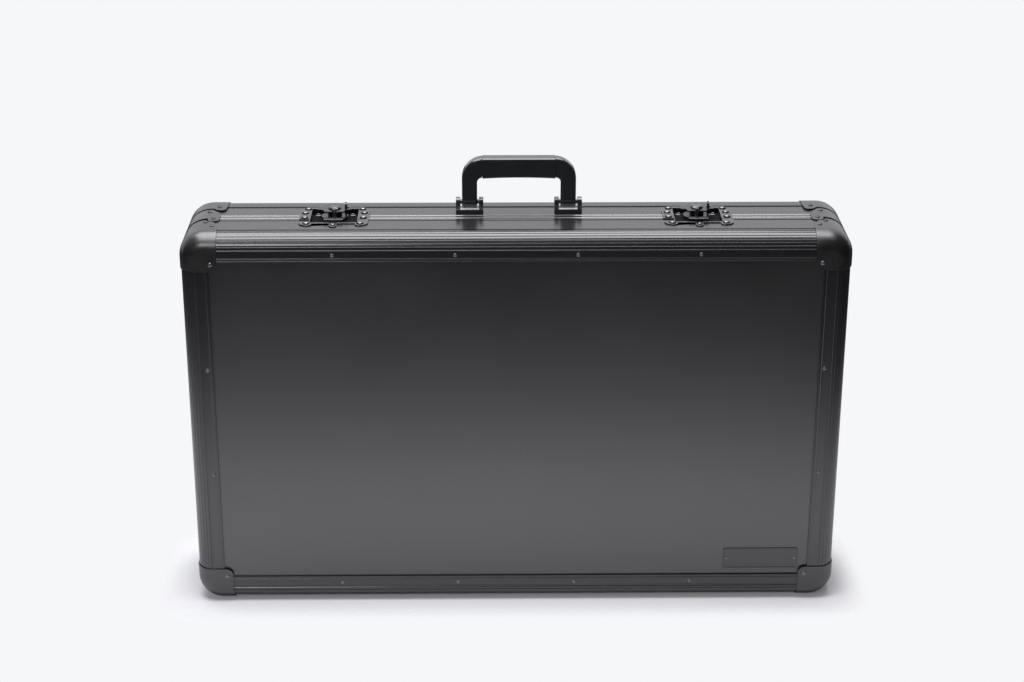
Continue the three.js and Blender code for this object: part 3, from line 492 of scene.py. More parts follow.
def make_whole(mesh, degrees):
    """Merges points and joins faces that turn by less than an angle."""
    bmesh.ops.remove_doubles(mesh, verts=mesh.verts, dist=0.002 * MM)
    bmesh.ops.dissolve_limit(
        mesh, angle_limit=math.radians(degrees), verts=mesh.verts, edges=mesh.edges
    )


def copy_of(node):
    """A merged copy of a node of the frame, with its flat faces whole."""
    mesh = bmesh.new()
    mesh.from_mesh(NODES[node].data)
    make_whole(mesh, 0.6)
    return mesh


def bevel(mesh, geom, offset, segments, affect="EDGES", clamp=False):
    """Rounds edges or corners by an offset in millimetres."""
    bmesh.ops.bevel(
        mesh,
        geom=geom,
        offset=offset * MM,
        offset_type="OFFSET",
        segments=segments,
        profile=0.5,
        affect=affect,
        clamp_overlap=clamp,
        material=-1,
    )


def soften(mesh, offset, angle=30.0, segments=2, edges=None):
    """Rounds the edges that turn by more than an angle."""
    chosen = [
        edge
        for edge in (mesh.edges if edges is None else edges)
        if len(edge.link_faces) == 2 and edge.calc_face_angle(0) > math.radians(angle)
    ]
    bevel(mesh, chosen, offset, segments, clamp=True)


def place(mesh, verts, matrix):
    bmesh.ops.transform(mesh, matrix=matrix, verts=verts)


def reach_along(edge, axis):
    """How far apart the ends of an edge are along x, y or z."""
    return abs(getattr(edge.verts[0].co, axis) - getattr(edge.verts[1].co, axis))


def verts_of(made):
    """The points among what an operator made."""
    return [part for part in made["geom"] if isinstance(part, bmesh.types.BMVert)]


def outline_face(mesh, points):
    """One face through points that are rounded by their third number, in the plane of X and Y."""
    verts = [mesh.verts.new((x * MM, y * MM, 0)) for x, y, _ in points]
    face = mesh.faces.new(verts)
    for vert, (_, _, radius) in zip(verts, points):
        if radius:
            bevel(mesh, [vert], radius, max(3, int(radius / 2)), "VERTICES")
    return face


def extrude(mesh, faces, along):
    """Pushes faces along a way and leaves them as the bottom of the new solid."""
    made = bmesh.ops.extrude_face_region(mesh, geom=faces, use_keep_orig=True)
    bmesh.ops.translate(mesh, verts=verts_of(made), vec=along)


def lathe(mesh, profile, unit, steps, matrix):
    """Turns a profile of [radius, height] in a unit about an axis and sets it in place."""
    old = set(mesh.verts)
    verts = [mesh.verts.new((radius * unit, 0, height * unit)) for radius, height in profile]
    edges = [mesh.edges.new(pair) for pair in zip(verts, verts[1:])]
    bmesh.ops.spin(
        mesh,
        geom=verts + edges,
        cent=(0, 0, 0),
        axis=(0, 0, 1),
        dvec=(0, 0, 0),
        angle=2 * math.pi,
        steps=steps,
        use_merge=True,
    )
    made = [vert for vert in mesh.verts if vert not in old]
    bmesh.ops.remove_doubles(mesh, verts=made, dist=0.001 * MM)
    place(mesh, [vert for vert in made if vert.is_valid], matrix)


def facing(spot, outwards):
    """A matrix that sets a turned shape on a spot with its axis outwards."""
    turn = Vector(outwards).to_track_quat("Z", "Y").to_matrix().to_4x4()
    return Matrix.Translation(spot) @ turn


# A rivet from its middle underneath to the middle of its stem, in shares of its radius.
RIVET_PROFILE = [(0, -0.2), (1, -0.2), (1, 0.12), (0.93, 0.26), (0.74, 0.40)]
RIVET_PROFILE += [(0.50, 0.47), (0.40, 0.44), (0.36, 0.28), (0.26, 0.30), (0, 0.34)]


def rivet(mesh, spot, outwards, radius):
    """A domed blind rivet, closed underneath, with the end of its stem in the middle."""
    lathe(mesh, RIVET_PROFILE, radius, 16, facing(spot, outwards))


def box_between(mesh, low, high):
    """A block between two corners."""
    low, high = Vector(low), Vector(high)
    made = bmesh.ops.create_cube(mesh, size=1)["verts"]
    scale = Matrix.Diagonal((*(high - low), 1))
    place(mesh, made, Matrix.Translation((low + high) / 2) @ scale)
    return made


def finish_piece(mesh, name, body, finish, replaces=(), sharp=32.0, closed=True):
    """Makes the piece's object, with smooth faces between sharp edges, and puts it on its body."""
    bmesh.ops.remove_doubles(mesh, verts=mesh.verts, dist=0.001 * MM)
    if closed:
        bmesh.ops.recalc_face_normals(mesh, faces=mesh.faces)
    for face in mesh.faces:
        face.smooth = True
    for edge in mesh.edges:
        edge.smooth = edge.calc_face_angle(0) < math.radians(sharp)
    data = bpy.data.meshes.new(name)
    mesh.to_mesh(data)
    mesh.free()
    data.materials.append(finishes()[finish])
    piece = bpy.data.objects.new(name, data)
    bpy.context.scene.collection.objects.link(piece)
    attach(piece, body)
    if replaces:
        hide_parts(*replaces)
    return piece


def weigh_normals(piece):
    """Keeps broad faces flat beside their rounded edges."""
    modifier = piece.modifiers.new("flat_faces", "WEIGHTED_NORMAL")
    modifier.keep_sharp = True


def dressed_copy(node, name, finish, offset, segments=2):
    """The node's shape with its edges rounded, standing for the node."""
    mesh = copy_of(node)
    soften(mesh, offset, 30, segments)
    piece = finish_piece(mesh, name, BODY_OF[node], finish, (node,))
    weigh_normals(piece)
    return piece


# Edge bars.


def bar_place(point, side, is_lid):
    """[depth from the face, depth from the side] of a point on a bar, in millimetres."""
    across = {
        "top": HIGH - point.z,
        "bottom": point.z - LOW,
        "left": point.x + HALF,
        "right": HALF - point.x,
    }[side]
    return (point.y - FRONT if is_lid else BACK - point.y) / MM, across / MM


def on_round(point, side, is_lid):
    """The angle of a point on the quarter round, or None."""
    from_face, from_side = bar_place(point, side, is_lid)
    u, v = EDGE_RADIUS - from_face, EDGE_RADIUS - from_side
    if u < -0.05 or v < -0.05 or math.hypot(u, v) < EDGE_RADIUS - 0.8:
        return None
    return math.atan2(u, v)


def on_crest(angle):
    """Whether an angle on the quarter round is the middle of a rib."""
    turns = angle / RIB_PITCH - 0.5
    return abs(turns - round(turns)) < 0.04 and round(turns) < RIB_COUNT


def crown_ribs(mesh, side, is_lid, crown):
    """Lifts the middle line of each rib, so that every rib is a narrow round of its own."""
    for vert in mesh.verts:
        angle = on_round(vert.co, side, is_lid)
        if angle is None or not on_crest(angle):
            continue
        outwards = {
            "top": Vector((0, 0, 1)),
            "bottom": Vector((0, 0, -1)),
            "left": Vector((-1, 0, 0)),
            "right": Vector((1, 0, 0)),
        }[side] * math.cos(angle)
        outwards.y = -math.sin(angle) if is_lid else math.sin(angle)
        vert.co += crown * outwards


def edges_along(mesh, side):
    axis = Vector((1, 0, 0)) if side in ("top", "bottom") else Vector((0, 0, 1))
    return [
        edge
        for edge in mesh.edges
        if abs((edge.verts[0].co - edge.verts[1].co).normalized().dot(axis)) > 0.999
    ]


def edge_bar(prefix, side, sizes):
    node = prefix + "_frame_" + side
    is_lid = prefix == "lid"
    mesh = copy_of(node)
    crown_ribs(mesh, side, is_lid, sizes.rib_crown)
    crests = []
    for edge in edges_along(mesh, side):
        angle = on_round(edge.verts[0].co, side, is_lid)
        if angle is not None and on_crest(angle):
            crests.append(edge)
    soften(mesh, 0.75, 4, 3, crests)
    soften(mesh, 0.22, 18, 2, edges_along(mesh, side))
    finish = "anodised_across" if side in ("top", "bottom") else "anodised_upright"
    piece = finish_piece(mesh, node + "_bar", prefix, finish, (node,))
    weigh_normals(piece)


class CASE_OT_edge_bars(bpy.types.Operator):
    """Make the eight ribbed edge bars"""

    bl_idname = "case.edge_bars"
    bl_label = "Edge bars"

    def execute(self, context):
        for prefix in ("lid", "base"):
            for side in ("top", "bottom", "left", "right"):
                edge_bar(prefix, side, context.scene.case_sizes)
        return {"FINISHED"}


# Panels.


def panel_board(node, body):
    """A laminated board with its edges eased."""
    low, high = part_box(node)
    mesh = bmesh.new()
    box_between(mesh, low, high)
    bevel(mesh, mesh.edges[:], 0.5, 3)
    piece = finish_piece(mesh, node + "_board", body, "laminate", (node,))
    weigh_normals(piece)


# The blank plate in millimetres: its middle from the case's middle and underside, its thickness and
# corners, its rim with the slope inside it, and its rivets with their distance from the ends.
PLATE_X = 293
PLATE_Z = 53.2
PLATE_THICKNESS = 1.0
PLATE_CORNER = 3
PLATE_RIM = 1.2
PLATE_SLOPE = 0.4
PLATE_SUNK = 0.35
PLATE_RIVET = 1.7
PLATE_RIVET_IN = 4.2


def blank_plate(sizes):
    """The blank plate low on the lid: thin, with a raised rim and a rivet at each end."""
    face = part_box("lid_panel")[0].y
    middle = at(PLATE_X, 0, PLATE_Z)
    half_width, half_height = sizes.plate_width / 2, sizes.plate_height / 2
    mesh = bmesh.new()
    box_between(
        mesh,
        (middle.x - half_width, face - PLATE_THICKNESS * MM, middle.z - half_height),
        (middle.x + half_width, face, middle.z + half_height),
    )
    upright = [edge for edge in mesh.edges if reach_along(edge, "y") > 0.5 * MM]
    bevel(mesh, upright, PLATE_CORNER, 5)
    front = min(mesh.faces, key=lambda f: f.calc_center_median().y)
    for thickness, depth in ((PLATE_RIM, 0), (PLATE_SLOPE, -PLATE_SUNK)):
        bmesh.ops.inset_region(mesh, faces=[front], thickness=thickness * MM, depth=depth * MM)
    soften(mesh, 0.15, 30, 2)
    piece = finish_piece(mesh, "blank_plate", "lid", "satin_plate")
    weigh_normals(piece)
    pins = bmesh.new()
    for side in (-1, 1):
        x = middle.x + side * (half_width - PLATE_RIVET_IN * MM)
        spot = Vector((x, face - (PLATE_THICKNESS - PLATE_SUNK) * MM, middle.z))
        rivet(pins, spot, (0, -1, 0), PLATE_RIVET * MM)
    finish_piece(pins, "blank_plate_rivets", "lid", "rivet_plated")


class CASE_OT_panels(bpy.types.Operator):
    """Make the two laminated panels and the blank plate"""

    bl_idname = "case.panels"
    bl_label = "Panels"

    def execute(self, context):
        panel_board("lid_panel", "lid")
        panel_board("base_panel", "base")
        blank_plate(context.scene.case_sizes)
        return {"FINISHED"}


# Corner pressings. Their outlines are in millimetres, as [distance from the corner, depth].

LID_REACH = 42.5
BASE_REACH = 46.0
PARTING_TOP = LID_DEPTH - 2.9
PARTING_BOTTOM = LID_DEPTH - 4.5
LID_TAB_TOP = [
    (-9, -9, 0),
    (LID_REACH, -9, 0),
    (LID_REACH, 30, 6),
    (34.5, 47.5, 3),
    (26.5, 47.5, 1.5),
    (26.5, PARTING_TOP, 1),
    (-9, PARTING_TOP, 0),
]
LID_TAB_BOTTOM = [
    (-9, -9, 0),
    (LID_REACH, -9, 0),
    (LID_REACH, 30, 6),
    (34.5, PARTING_BOTTOM, 4),
    (-9, PARTING_BOTTOM, 0),
]
BASE_TAB = [
    (-9, 143, 0),
    (BASE_REACH, 143, 0),
    (BASE_REACH, 104, 8),
    (44, 88, 5),
    (34, 88, 4),
    (31, 94, 2),
    (-9, 94, 0),
]
BRACE_TAB_TOP = [
    (-9, 89, 0),
    (30, 89, 5),
    (41, 75, 5),
    (41, 49, 5),
    (28, 49, 5),
    (28, 58.8, 0.8),
    (-9, 58.8, 0),
]
BRACE_TAB_BOTTOM = [
    (-9, 89, 0),
    (30, 89, 5),
    (41, 75, 5),
    (41, 60, 5),
    (-9, 60, 0),
]
LID_CORNER_RIVETS = [(35.3, 32), (26.6, 45.5)]
BASE_CORNER_RIVETS = [(36.3, 100.5)]
FACE_TAB_RIVETS = [(35, 33.6)]
# Outline of the matt black strip that paints the shade in the joint between brace and base pressing.
JOINT_SHADE_STRIP = [(-9, 95, 0), (32, 95, 0), (32, 87.5, 0), (-9, 87.5, 0)]


def within(points, a, b):
    """Whether a point is inside an outline."""
    inside = False
    for (a0, b0, _), (a1, b1, _) in zip(points, points[1:] + points[:1]):
        if (b0 > b) != (b1 > b) and a < a0 + (b - b0) * (a1 - a0) / (b1 - b0):
            inside = not inside
    return inside


def corner_block(stand_off):
    """The case as one block with rounded corners and edges, grown by a distance on every side."""
    mesh = bmesh.new()
    proud = Vector((1, 1, 1)) * stand_off * MM
    box_between(mesh, Vector((-HALF, FRONT, LOW)) - proud, Vector((HALF, BACK, HIGH)) + proud)
    deep = [edge for edge in mesh.edges if reach_along(edge, "y") > 1 * MM]
    bevel(mesh, deep, CORNER_RADIUS + stand_off, 12)
    rims = [edge for edge in mesh.edges if reach_along(edge, "y") < 1 * MM]
    bevel(mesh, rims, EDGE_RADIUS + stand_off, 12)
    return mesh


def cut_plane(mesh, faces, spot, normal, clear=False):
    """Cuts faces along a plane, and clears what lies beyond it if asked."""
    geom = list({part for face in faces for part in (face, *face.edges, *face.verts)})
    bmesh.ops.bisect_plane(
        mesh,
        geom=geom,
        dist=0.0005 * MM,
        plane_co=spot,
        plane_no=normal,
        clear_outer=clear,
    )


class CornerFrame:
    """Places at one corner of the case, as distances from its sides and depth from the front."""

    def __init__(self, side_x, side_z):
        self.side_x, self.side_z = side_x, side_z

    def point(self, from_x, depth, from_z):
        x = self.side_x * (HALF / MM - from_x)
        height = HEIGHT / 2 + self.side_z * (HEIGHT / 2 - from_z)
        return at(x, depth, height)

    def inverse(self, spot):
        from_x = (HALF - self.side_x * spot.x) / MM
        depth = (spot.y - FRONT) / MM
        from_z = (HIGH - spot.z if self.side_z > 0 else spot.z - LOW) / MM
        return from_x, depth, from_z


def pressed_sheet(corner, tab, face_reach, is_lid, stand_off=CAP_PROUD):
    """The outside of one pressing: the rounded block cut along the outlines of its tabs."""
    mesh = corner_block(stand_off)
    far = 60
    cut_plane(mesh, mesh.faces[:], corner.point(far, 0, 0), (-corner.side_x, 0, 0), True)
    cut_plane(mesh, mesh.faces[:], corner.point(0, 0, far), (0, 0, -corner.side_z), True)

    def in_top(face):
        return corner.inverse(face.calc_center_median())[2] < EDGE_RADIUS

    def in_side(face):
        return corner.inverse(face.calc_center_median())[0] < EDGE_RADIUS

    for (a0, b0, _), (a1, b1, _) in zip(tab, tab[1:] + tab[:1]):
        run, rise = a1 - a0, b1 - b0
        top_normal = (corner.side_x * rise, run, 0)
        side_normal = (0, run, corner.side_z * rise)
        cut_plane(mesh, [f for f in mesh.faces if in_top(f)], corner.point(a0, b0, 0), top_normal)
        cut_plane(mesh, [f for f in mesh.faces if in_side(f)], corner.point(0, b0, a0), side_normal)
    if face_reach:
        cut_plane(mesh, mesh.faces[:], corner.point(face_reach, 0, 0), (1, 0, 0))
        cut_plane(mesh, mesh.faces[:], corner.point(0, 0, face_reach), (0, 0, 1))

    def kept(face):
        from_x, depth, from_z = corner.inverse(face.calc_center_median())
        from_face = depth if is_lid else DEPTH - depth
        if face_reach and from_face < EDGE_RADIUS and max(from_x, from_z) < face_reach:
            return True
        if from_z < EDGE_RADIUS and within(tab, from_x, depth):
            return True
        return from_x < EDGE_RADIUS and within(tab, from_z, depth)

    gone = [face for face in mesh.faces if not kept(face)]
    bmesh.ops.delete(mesh, geom=gone, context="FACES")
    make_whole(mesh, 0.3)
    return mesh


def round_tab_corners(mesh, corner, tab, face_reach, is_lid, face_round):
    """Rounds the outline's corners where it lies on flat sheet."""
    spots = []
    for a, depth, radius in tab:
        if radius and a > EDGE_RADIUS:
            spots.append((corner.point(a, depth, -CAP_PROUD), radius))
            spots.append((corner.point(-CAP_PROUD, depth, a), radius))
    if face_reach:
        depth = -CAP_PROUD if is_lid else DEPTH + CAP_PROUD
        spots.append((corner.point(face_reach, depth, face_reach), face_round))
    for spot, radius in spots:
        near = [vert for vert in mesh.verts if (vert.co - spot).length < 0.08 * MM]
        if near:
            bevel(mesh, near, radius, 5, "VERTICES", True)


def add_wall(piece, thickness):
    """Gives a sheet its thickness, inwards from its outside."""
    wall = piece.modifiers.new("wall", "SOLIDIFY")
    wall.thickness = thickness * MM
    wall.offset = -1
    return wall


def pressing(node, body, corner, tab, face_reach, sizes):
    is_lid = body == "lid"
    mesh = pressed_sheet(corner, tab, face_reach, is_lid)
    round_tab_corners(mesh, corner, tab, face_reach, is_lid, sizes.tab_round / MM)
    piece = finish_piece(
        mesh, node + "_pressing", body, "pressed_black", (node,), 60, False
    )
    add_wall(piece, CAP_SHEET).use_even_offset = True
    rim = piece.modifiers.new("rim", "BEVEL")
    rim.width = 0.15 * MM
    rim.segments = 2
    rim.limit_method = "ANGLE"
    rim.angle_limit = math.radians(50)
    rim.harden_normals = True


def joint_shade_strip(name, corner):
    """A matt black strip in the joint between the brace and the base's pressing: painted shade for
    the dark gap there.
    """
    mesh = pressed_sheet(corner, JOINT_SHADE_STRIP, 0, False, 0.3)
    piece = finish_piece(
        mesh, "corner_joint_seal_" + name, "base", "painted_shade_matt", (), 60, False
    )
    add_wall(piece, 0.25)


# How far a rivet's dome stands up, as a share of its radius and a little more.
RIVET_RISE = 0.48


def corner_rivets(name, body, corner, spots, face_spots, radius, finish):
    """Rivets on the two side tabs and on the face tab of a pressing. Those on the underside are
    sunk, so that the case stands on its pressings."""
    is_lid = body == "lid"
    mesh = bmesh.new()
    sunk = 0 if corner.side_z > 0 else RIVET_RISE * radius / MM
    for a, depth in spots:
        rivet(mesh, corner.point(a, depth, sunk - CAP_PROUD), (0, 0, corner.side_z), radius)
        rivet(mesh, corner.point(-CAP_PROUD, depth, a), (corner.side_x, 0, 0), radius)
    for from_x, from_z in face_spots:
        depth = -CAP_PROUD if is_lid else DEPTH + CAP_PROUD
        rivet(mesh, corner.point(from_x, depth, from_z), (0, -1 if is_lid else 1, 0), radius)
    finish_piece(mesh, name, body, finish)


class CASE_OT_corners(bpy.types.Operator):
    """Make the corner pressings and their rivets"""

    bl_idname = "case.corners"
    bl_label = "Corner pressings"

    def execute(self, context):
        sizes = context.scene.case_sizes
        for name, (side_x, side_z) in CORNERS.items():
            corner = CornerFrame(side_x, side_z)
            is_top = side_z > 0
            lid_tab = LID_TAB_TOP if is_top else LID_TAB_BOTTOM
            brace_tab = BRACE_TAB_TOP if is_top else BRACE_TAB_BOTTOM
            pressing("lid_corner_cap_" + name, "lid", corner, lid_tab, LID_REACH, sizes)
            pressing("base_corner_cap_" + name, "base", corner, BASE_TAB, BASE_REACH, sizes)
            pressing("base_corner_brace_" + name, "base", corner, brace_tab, 0, sizes)
            joint_shade_strip(name, corner)
            brace_spots = [(34, 58 if is_top else 66), (27, 82.5)]
            for prefix, body, spots, face_spots, finish in (
                ("lid_corner_rivets_", "lid", LID_CORNER_RIVETS, [], "rivet_black"),
                ("base_corner_rivets_", "base", BASE_CORNER_RIVETS, [], "rivet_black"),
                ("lid_face_tab_rivet_", "lid", [], FACE_TAB_RIVETS, "rivet_plated"),
                ("base_face_tab_rivet_", "base", [], FACE_TAB_RIVETS, "rivet_plated"),
                ("brace_rivets_", "base", brace_spots, [], "rivet_black"),
            ):
                radius = sizes.rivet_radius
                corner_rivets(prefix + name, body, corner, spots, face_spots, radius, finish)
        return {"FINISHED"}


# Small rivets that hold the bars' face legs to the panels.

ALONG_TOP = (-208.5, -69.5, 69.5, 208.5)
UP_THE_SIDE = (167.4, 300.4)


class CASE_OT_face_rivets(bpy.types.Operator):
    """Make the small rivets along the edge bars, front and back"""

    bl_idname = "case.face_rivets"
    bl_label = "Face rivets"

    def execute(self, context):
        radius = context.scene.case_sizes.screw_radius
        for body, depth, outwards in (("lid", 0.4, -1), ("base", DEPTH - 0.4, 1)):
            mesh = bmesh.new()
            for x in ALONG_TOP:
                for height in (HEIGHT - 23.5, 23.5):
                    rivet(mesh, at(x, depth, height), (0, outwards, 0), radius)
            for height in UP_THE_SIDE:
                for side in (-1, 1):
                    x = side * (HALF / MM - 25.3)
                    rivet(mesh, at(x, depth, height), (0, outwards, 0), radius)
            finish_piece(mesh, body + "_face_rivets", body, "rivet_plated")
        return {"FINISHED"}


# Latches.

CAP_HEIGHT = 9.05
DISH_TOP = 1.3
WELL_FLOOR = -5.0
LID_RIVETS = [(-30.8, 39.5), (30.8, 39.5)]
TAB_RIVETS = [(0, 34.9)]
BASE_RIVETS = [(-33.6, 60), (33.6, 60), (-34, 76.5), (34, 76.5), (-31.5, 90.5), (31.5, 90.5)]


RING_PROFILE = [(1.6, 0), (1.6, 1.1), (2.2, 1.5), (3.6, 1.5), (4.4, 1.0), (4.8, 0.1)]
RING_PROFILE += [(4.8, -0.4), (1.6, -0.4), (1.6, 0)]


def ring_boss(mesh, spot):
    """A pressed ring round a hole in the floor of a dish."""
    lathe(mesh, RING_PROFILE, MM, 24, facing(spot, (0, 0, 1)))


def latch_rivets(prefix, name, body, x, spots, radius):
    """Domed rivets on a dish, each on a matt black ring that paints the shade round its foot."""
    domes, painted_shade_rings = bmesh.new(), bmesh.new()
    up = (0, 0, 1)
    profile = [(0, -0.2), (1, -0.2), (1, 0.08), (0.94, 0.12), (0, 0.12)]
    for across, depth in spots:
        spot = at(x + across, depth, HEIGHT + DISH_TOP)
        lathe(painted_shade_rings, profile, radius, 20, facing(spot, up))
        rivet(domes, spot + Vector((0, 0, 0.1 * radius)), up, 0.68 * radius)
    finish_piece(domes, prefix + "_rivets_" + name, body, "rivet_plated")
    finish_piece(painted_shade_rings, prefix + "_washers_" + name, body, "painted_shade_matt")


def boss_cap(name, x):
    """The turned cap on the latch's boss, with a screwdriver slot."""
    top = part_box("latch_rotor_" + name)[1].z
    centre = at(x, LATCH_Y, HEIGHT)
    mesh = bmesh.new()
    profile = [(0, 0), (5.6, 0), (5.9, 0.25), (5.6, 0.6), (4.8, 0.8), (0, 0.8)]
    spot = Vector((centre.x, centre.y, centre.z + CAP_HEIGHT * MM))
    lathe(mesh, profile, MM, 32, facing(spot, (0, 0, 1)))
    for side in (-1, 1):
        normal = Vector((0, side, 0))
        cut_plane(mesh, mesh.faces[:], spot + normal * 0.7 * MM, normal)
    slot_faces = [
        face
        for face in mesh.faces
        if abs(face.calc_center_median().y - centre.y) < 0.7 * MM
        and face.calc_center_median().z > spot.z + 0.5 * MM
    ]
    made = bmesh.ops.extrude_face_region(mesh, geom=slot_faces)
    bmesh.ops.translate(mesh, verts=verts_of(made), vec=(0, 0, -0.6 * MM))
    bmesh.ops.delete(mesh, geom=slot_faces, context="FACES")
    if top < spot.z:
        raise RuntimeError("the boss cap stands off its boss")
    finish_piece(mesh, "latch_boss_cap_" + name, "rotor_" + name, "rivet_plated")


class CASE_OT_latches(bpy.types.Operator):
    """Make the two butterfly latches with their dishes, rivets and bosses"""

    bl_idname = "case.latches"
    bl_label = "Latches"

    def execute(self, context):
        radius = context.scene.case_sizes.latch_rivet_radius
        for name, side in SIDES.items():
            x = side * LATCH_X
            for node in ("latch_dish_" + name, "lid_catch_dish_" + name):
                dressed_copy(node, node + "_plated", "dish_plated", 0.35, 3)
            for node, offset in (
                ("lid_keeper_" + name, 0.3),
                ("latch_hook_" + name, 0.3),
                ("latch_rotor_" + name, 0.3),
                ("latch_" + name + "_wing_left", 0.45),
                ("latch_" + name + "_wing_right", 0.45),
            ):
                dressed_copy(node, node + "_plated", "black_nickel", offset, 3)
            node = "latch_wing_pin_" + name
            dressed_copy(node, node + "_turned", "bright_steel", 0.2)
            boss_cap(name, x)
            latch_rivets("lid_catch", name, "lid", x, LID_RIVETS, radius)
            latch_rivets("lid_catch_tab", name, "lid", x, TAB_RIVETS, radius * 0.8)
            latch_rivets("latch_dish", name, "base", x, BASE_RIVETS, radius)
            bosses = bmesh.new()
            for across in (-20, 20):
                ring_boss(bosses, at(x + across, 86.5, HEIGHT + WELL_FLOOR))
            finish_piece(bosses, "latch_ring_bosses_" + name, "base", "black_nickel")
        return {"FINISHED"}


# Handle.

BAR_TOP = 66.0
BAR_UNDER = 42.4
BAR_ROUND = 25.0
LEG_HALF = 8.75
BOW_THICKNESS = 14.0
EYE_RADIUS = 6.0
EYE_CUTS = (0.25, 0.7, 1.4, 2.4, 3.8)
TAPER_HEIGHT = 16.3
GRIP_HALF = 42.0
GRIP_ROUND = 2.9
GRIP_END_ROUND = 0.6
GRIP_ARCH = 1.2
GRIP_CUTS = 16
GRIP_SEAT_TOP = 64.8
GRIP_SEAT_UNDER = 44.1


def bow_half_thickness(height):
    """Half the bow's thickness at a height: full above, drawn in to a round eye at the pin."""
    full = BOW_THICKNESS / 2
    if height >= TAPER_HEIGHT:
        return full
    if height >= PIN_HEIGHT:
        share = (height - PIN_HEIGHT) / (TAPER_HEIGHT - PIN_HEIGHT)
        return EYE_RADIUS + (full - EYE_RADIUS) * share
    drop = min(PIN_HEIGHT - height, 0.995 * EYE_RADIUS)
    return math.sqrt(EYE_RADIUS**2 - drop**2)


def handle_bow(sizes):
    """The moulded bow: two legs and a bar, with the legs' eyes round at the pin."""
    outer, inner = LEG_X + LEG_HALF, LEG_X - LEG_HALF
    foot = PIN_HEIGHT - EYE_RADIUS
    mesh = bmesh.new()
    left = [(-outer, foot, 0), (-inner, foot, 0), (-inner, BAR_UNDER, 6)]
    right = [(inner, BAR_UNDER, 6), (inner, foot, 0), (outer, foot, 0)]
    above = [(outer, BAR_TOP, BAR_ROUND), (-outer, BAR_TOP, BAR_ROUND)]
    outline_face(mesh, left + right + above)
    half = BOW_THICKNESS / 2
    extrude(mesh, mesh.faces[:], (0, 0, BOW_THICKNESS * MM))
    place(mesh, mesh.verts, Matrix.Translation((0, 0, -half * MM)))
    round_edges = [
        edge
        for edge in mesh.edges
        if reach_along(edge, "z") < 0.01 * MM
        and max(vert.co.y for vert in edge.verts) > (foot + 0.5) * MM
    ]
    bmesh.ops.recalc_face_normals(mesh, faces=mesh.faces)
    bevel(mesh, round_edges, sizes.handle_round / MM, 5, clamp=True)
    for height in [foot + rise for rise in EYE_CUTS] + [PIN_HEIGHT, TAPER_HEIGHT]:
        cut_plane(mesh, mesh.faces[:], Vector((0, height * MM, 0)), (0, 1, 0))
    for x in (GRIP_HALF + 0.2, GRIP_HALF + 0.3):
        for side in (-1, 1):
            cut_plane(mesh, mesh.faces[:], Vector((side * x * MM, 0, 0)), (1, 0, 0))
    shrink = (GRIP_SEAT_TOP - GRIP_SEAT_UNDER) / (BAR_TOP - BAR_UNDER)
    for vert in mesh.verts:
        vert.co.z *= bow_half_thickness(vert.co.y / MM) / half
        if abs(vert.co.x) < (GRIP_HALF + 0.25) * MM and vert.co.y > (BAR_UNDER - 1) * MM:
            vert.co.y = (GRIP_SEAT_UNDER + (vert.co.y / MM - BAR_UNDER) * shrink) * MM
    upright = Matrix.Translation(at(HANDLE_X, HANDLE_Y, HEIGHT)) @ Matrix.Rotation(QUARTER, 4, "X")
    place(mesh, mesh.verts, upright)
    piece = finish_piece(
        mesh, "handle_bow_moulding", "handle", "gloss_plastic", ("handle_bow",), 40
    )
    weigh_normals(piece)


def handle_grip():
    """The grip sleeve round the bar, arched a little underneath for the fingers."""
    low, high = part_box("handle_grip")
    mesh = bmesh.new()
    box_between(mesh, low, high)
    along = [edge for edge in mesh.edges if reach_along(edge, "x") > 1 * MM]
    bevel(mesh, along, GRIP_ROUND, 6)
    middle = (low.x + high.x) / 2
    half = (high.x - low.x) / 2
    ends = [
        edge
        for edge in mesh.edges
        if reach_along(edge, "x") < 0.01 * MM
        and all(abs(abs(vert.co.x - middle) - half) < 0.01 * MM for vert in edge.verts)
    ]
    bevel(mesh, ends, GRIP_END_ROUND, 3)
    for step in range(1, GRIP_CUTS):
        x = low.x + (high.x - low.x) * step / GRIP_CUTS
        cut_plane(mesh, mesh.faces[:], Vector((x, 0, 0)), (1, 0, 0))
    level = (low.z + high.z) / 2
    for vert in mesh.verts:
        across = (vert.co.x - middle) / half
        below = max(0.0, (level - vert.co.z) / (level - low.z))
        vert.co.z += GRIP_ARCH * MM * below * (1 - across**2)
    piece = finish_piece(
        mesh, "handle_grip_sleeve", "handle", "grip_plastic", ("handle_grip",), 40
    )
    weigh_normals(piece)


# The pale pads in the brackets, whose pale colour is a painted reflection: half their width and
# depth, and their underside and top over the case.
PAD_HALF_WIDTH = 10.8
PAD_HALF_DEPTH = 9.2
PAD_LEVELS = (4.9, 5.45)


def reflection_pad(name, side):
    """A pale pad on the floor of a bracket, under the leg, whose pale colour is a painted
    reflection.
    """
    x = HANDLE_X + side * LEG_X
    mesh = bmesh.new()
    low, high = (HEIGHT + level for level in PAD_LEVELS)
    box_between(
        mesh,
        at(x - PAD_HALF_WIDTH, HANDLE_Y - PAD_HALF_DEPTH, low),
        at(x + PAD_HALF_WIDTH, HANDLE_Y + PAD_HALF_DEPTH, high),
    )
    soften(mesh, 0.12)
    finish_piece(mesh, "handle_wear_pad_" + name, "base", "painted_reflection_finish")


class CASE_OT_handle(bpy.types.Operator):
    """Make the carrying handle with its grip, brackets and pins"""

    bl_idname = "case.handle"
    bl_label = "Handle"

    def execute(self, context):
        handle_bow(context.scene.case_sizes)
        handle_grip()
        for name, side in SIDES.items():
            bracket = "handle_bracket_" + name
            dressed_copy(bracket, bracket + "_moulding", "gloss_plastic", 0.6, 3)
            pin = "handle_pin_" + name
            dressed_copy(pin, pin + "_turned", "black_nickel", 0.4)
            reflection_pad(name, side)
        return {"FINISHED"}


# Feet and hinges.


FOOT_PROFILE = [(0, 0), (10, 0), (9.6, 4.5), (9.2, 6.9), (8.8, 7.6), (8.0, 8.0)]
FOOT_PROFILE += [(4.6, 8.0), (4.1, 7.7), (3.8, 5.0), (0, 5.0)]


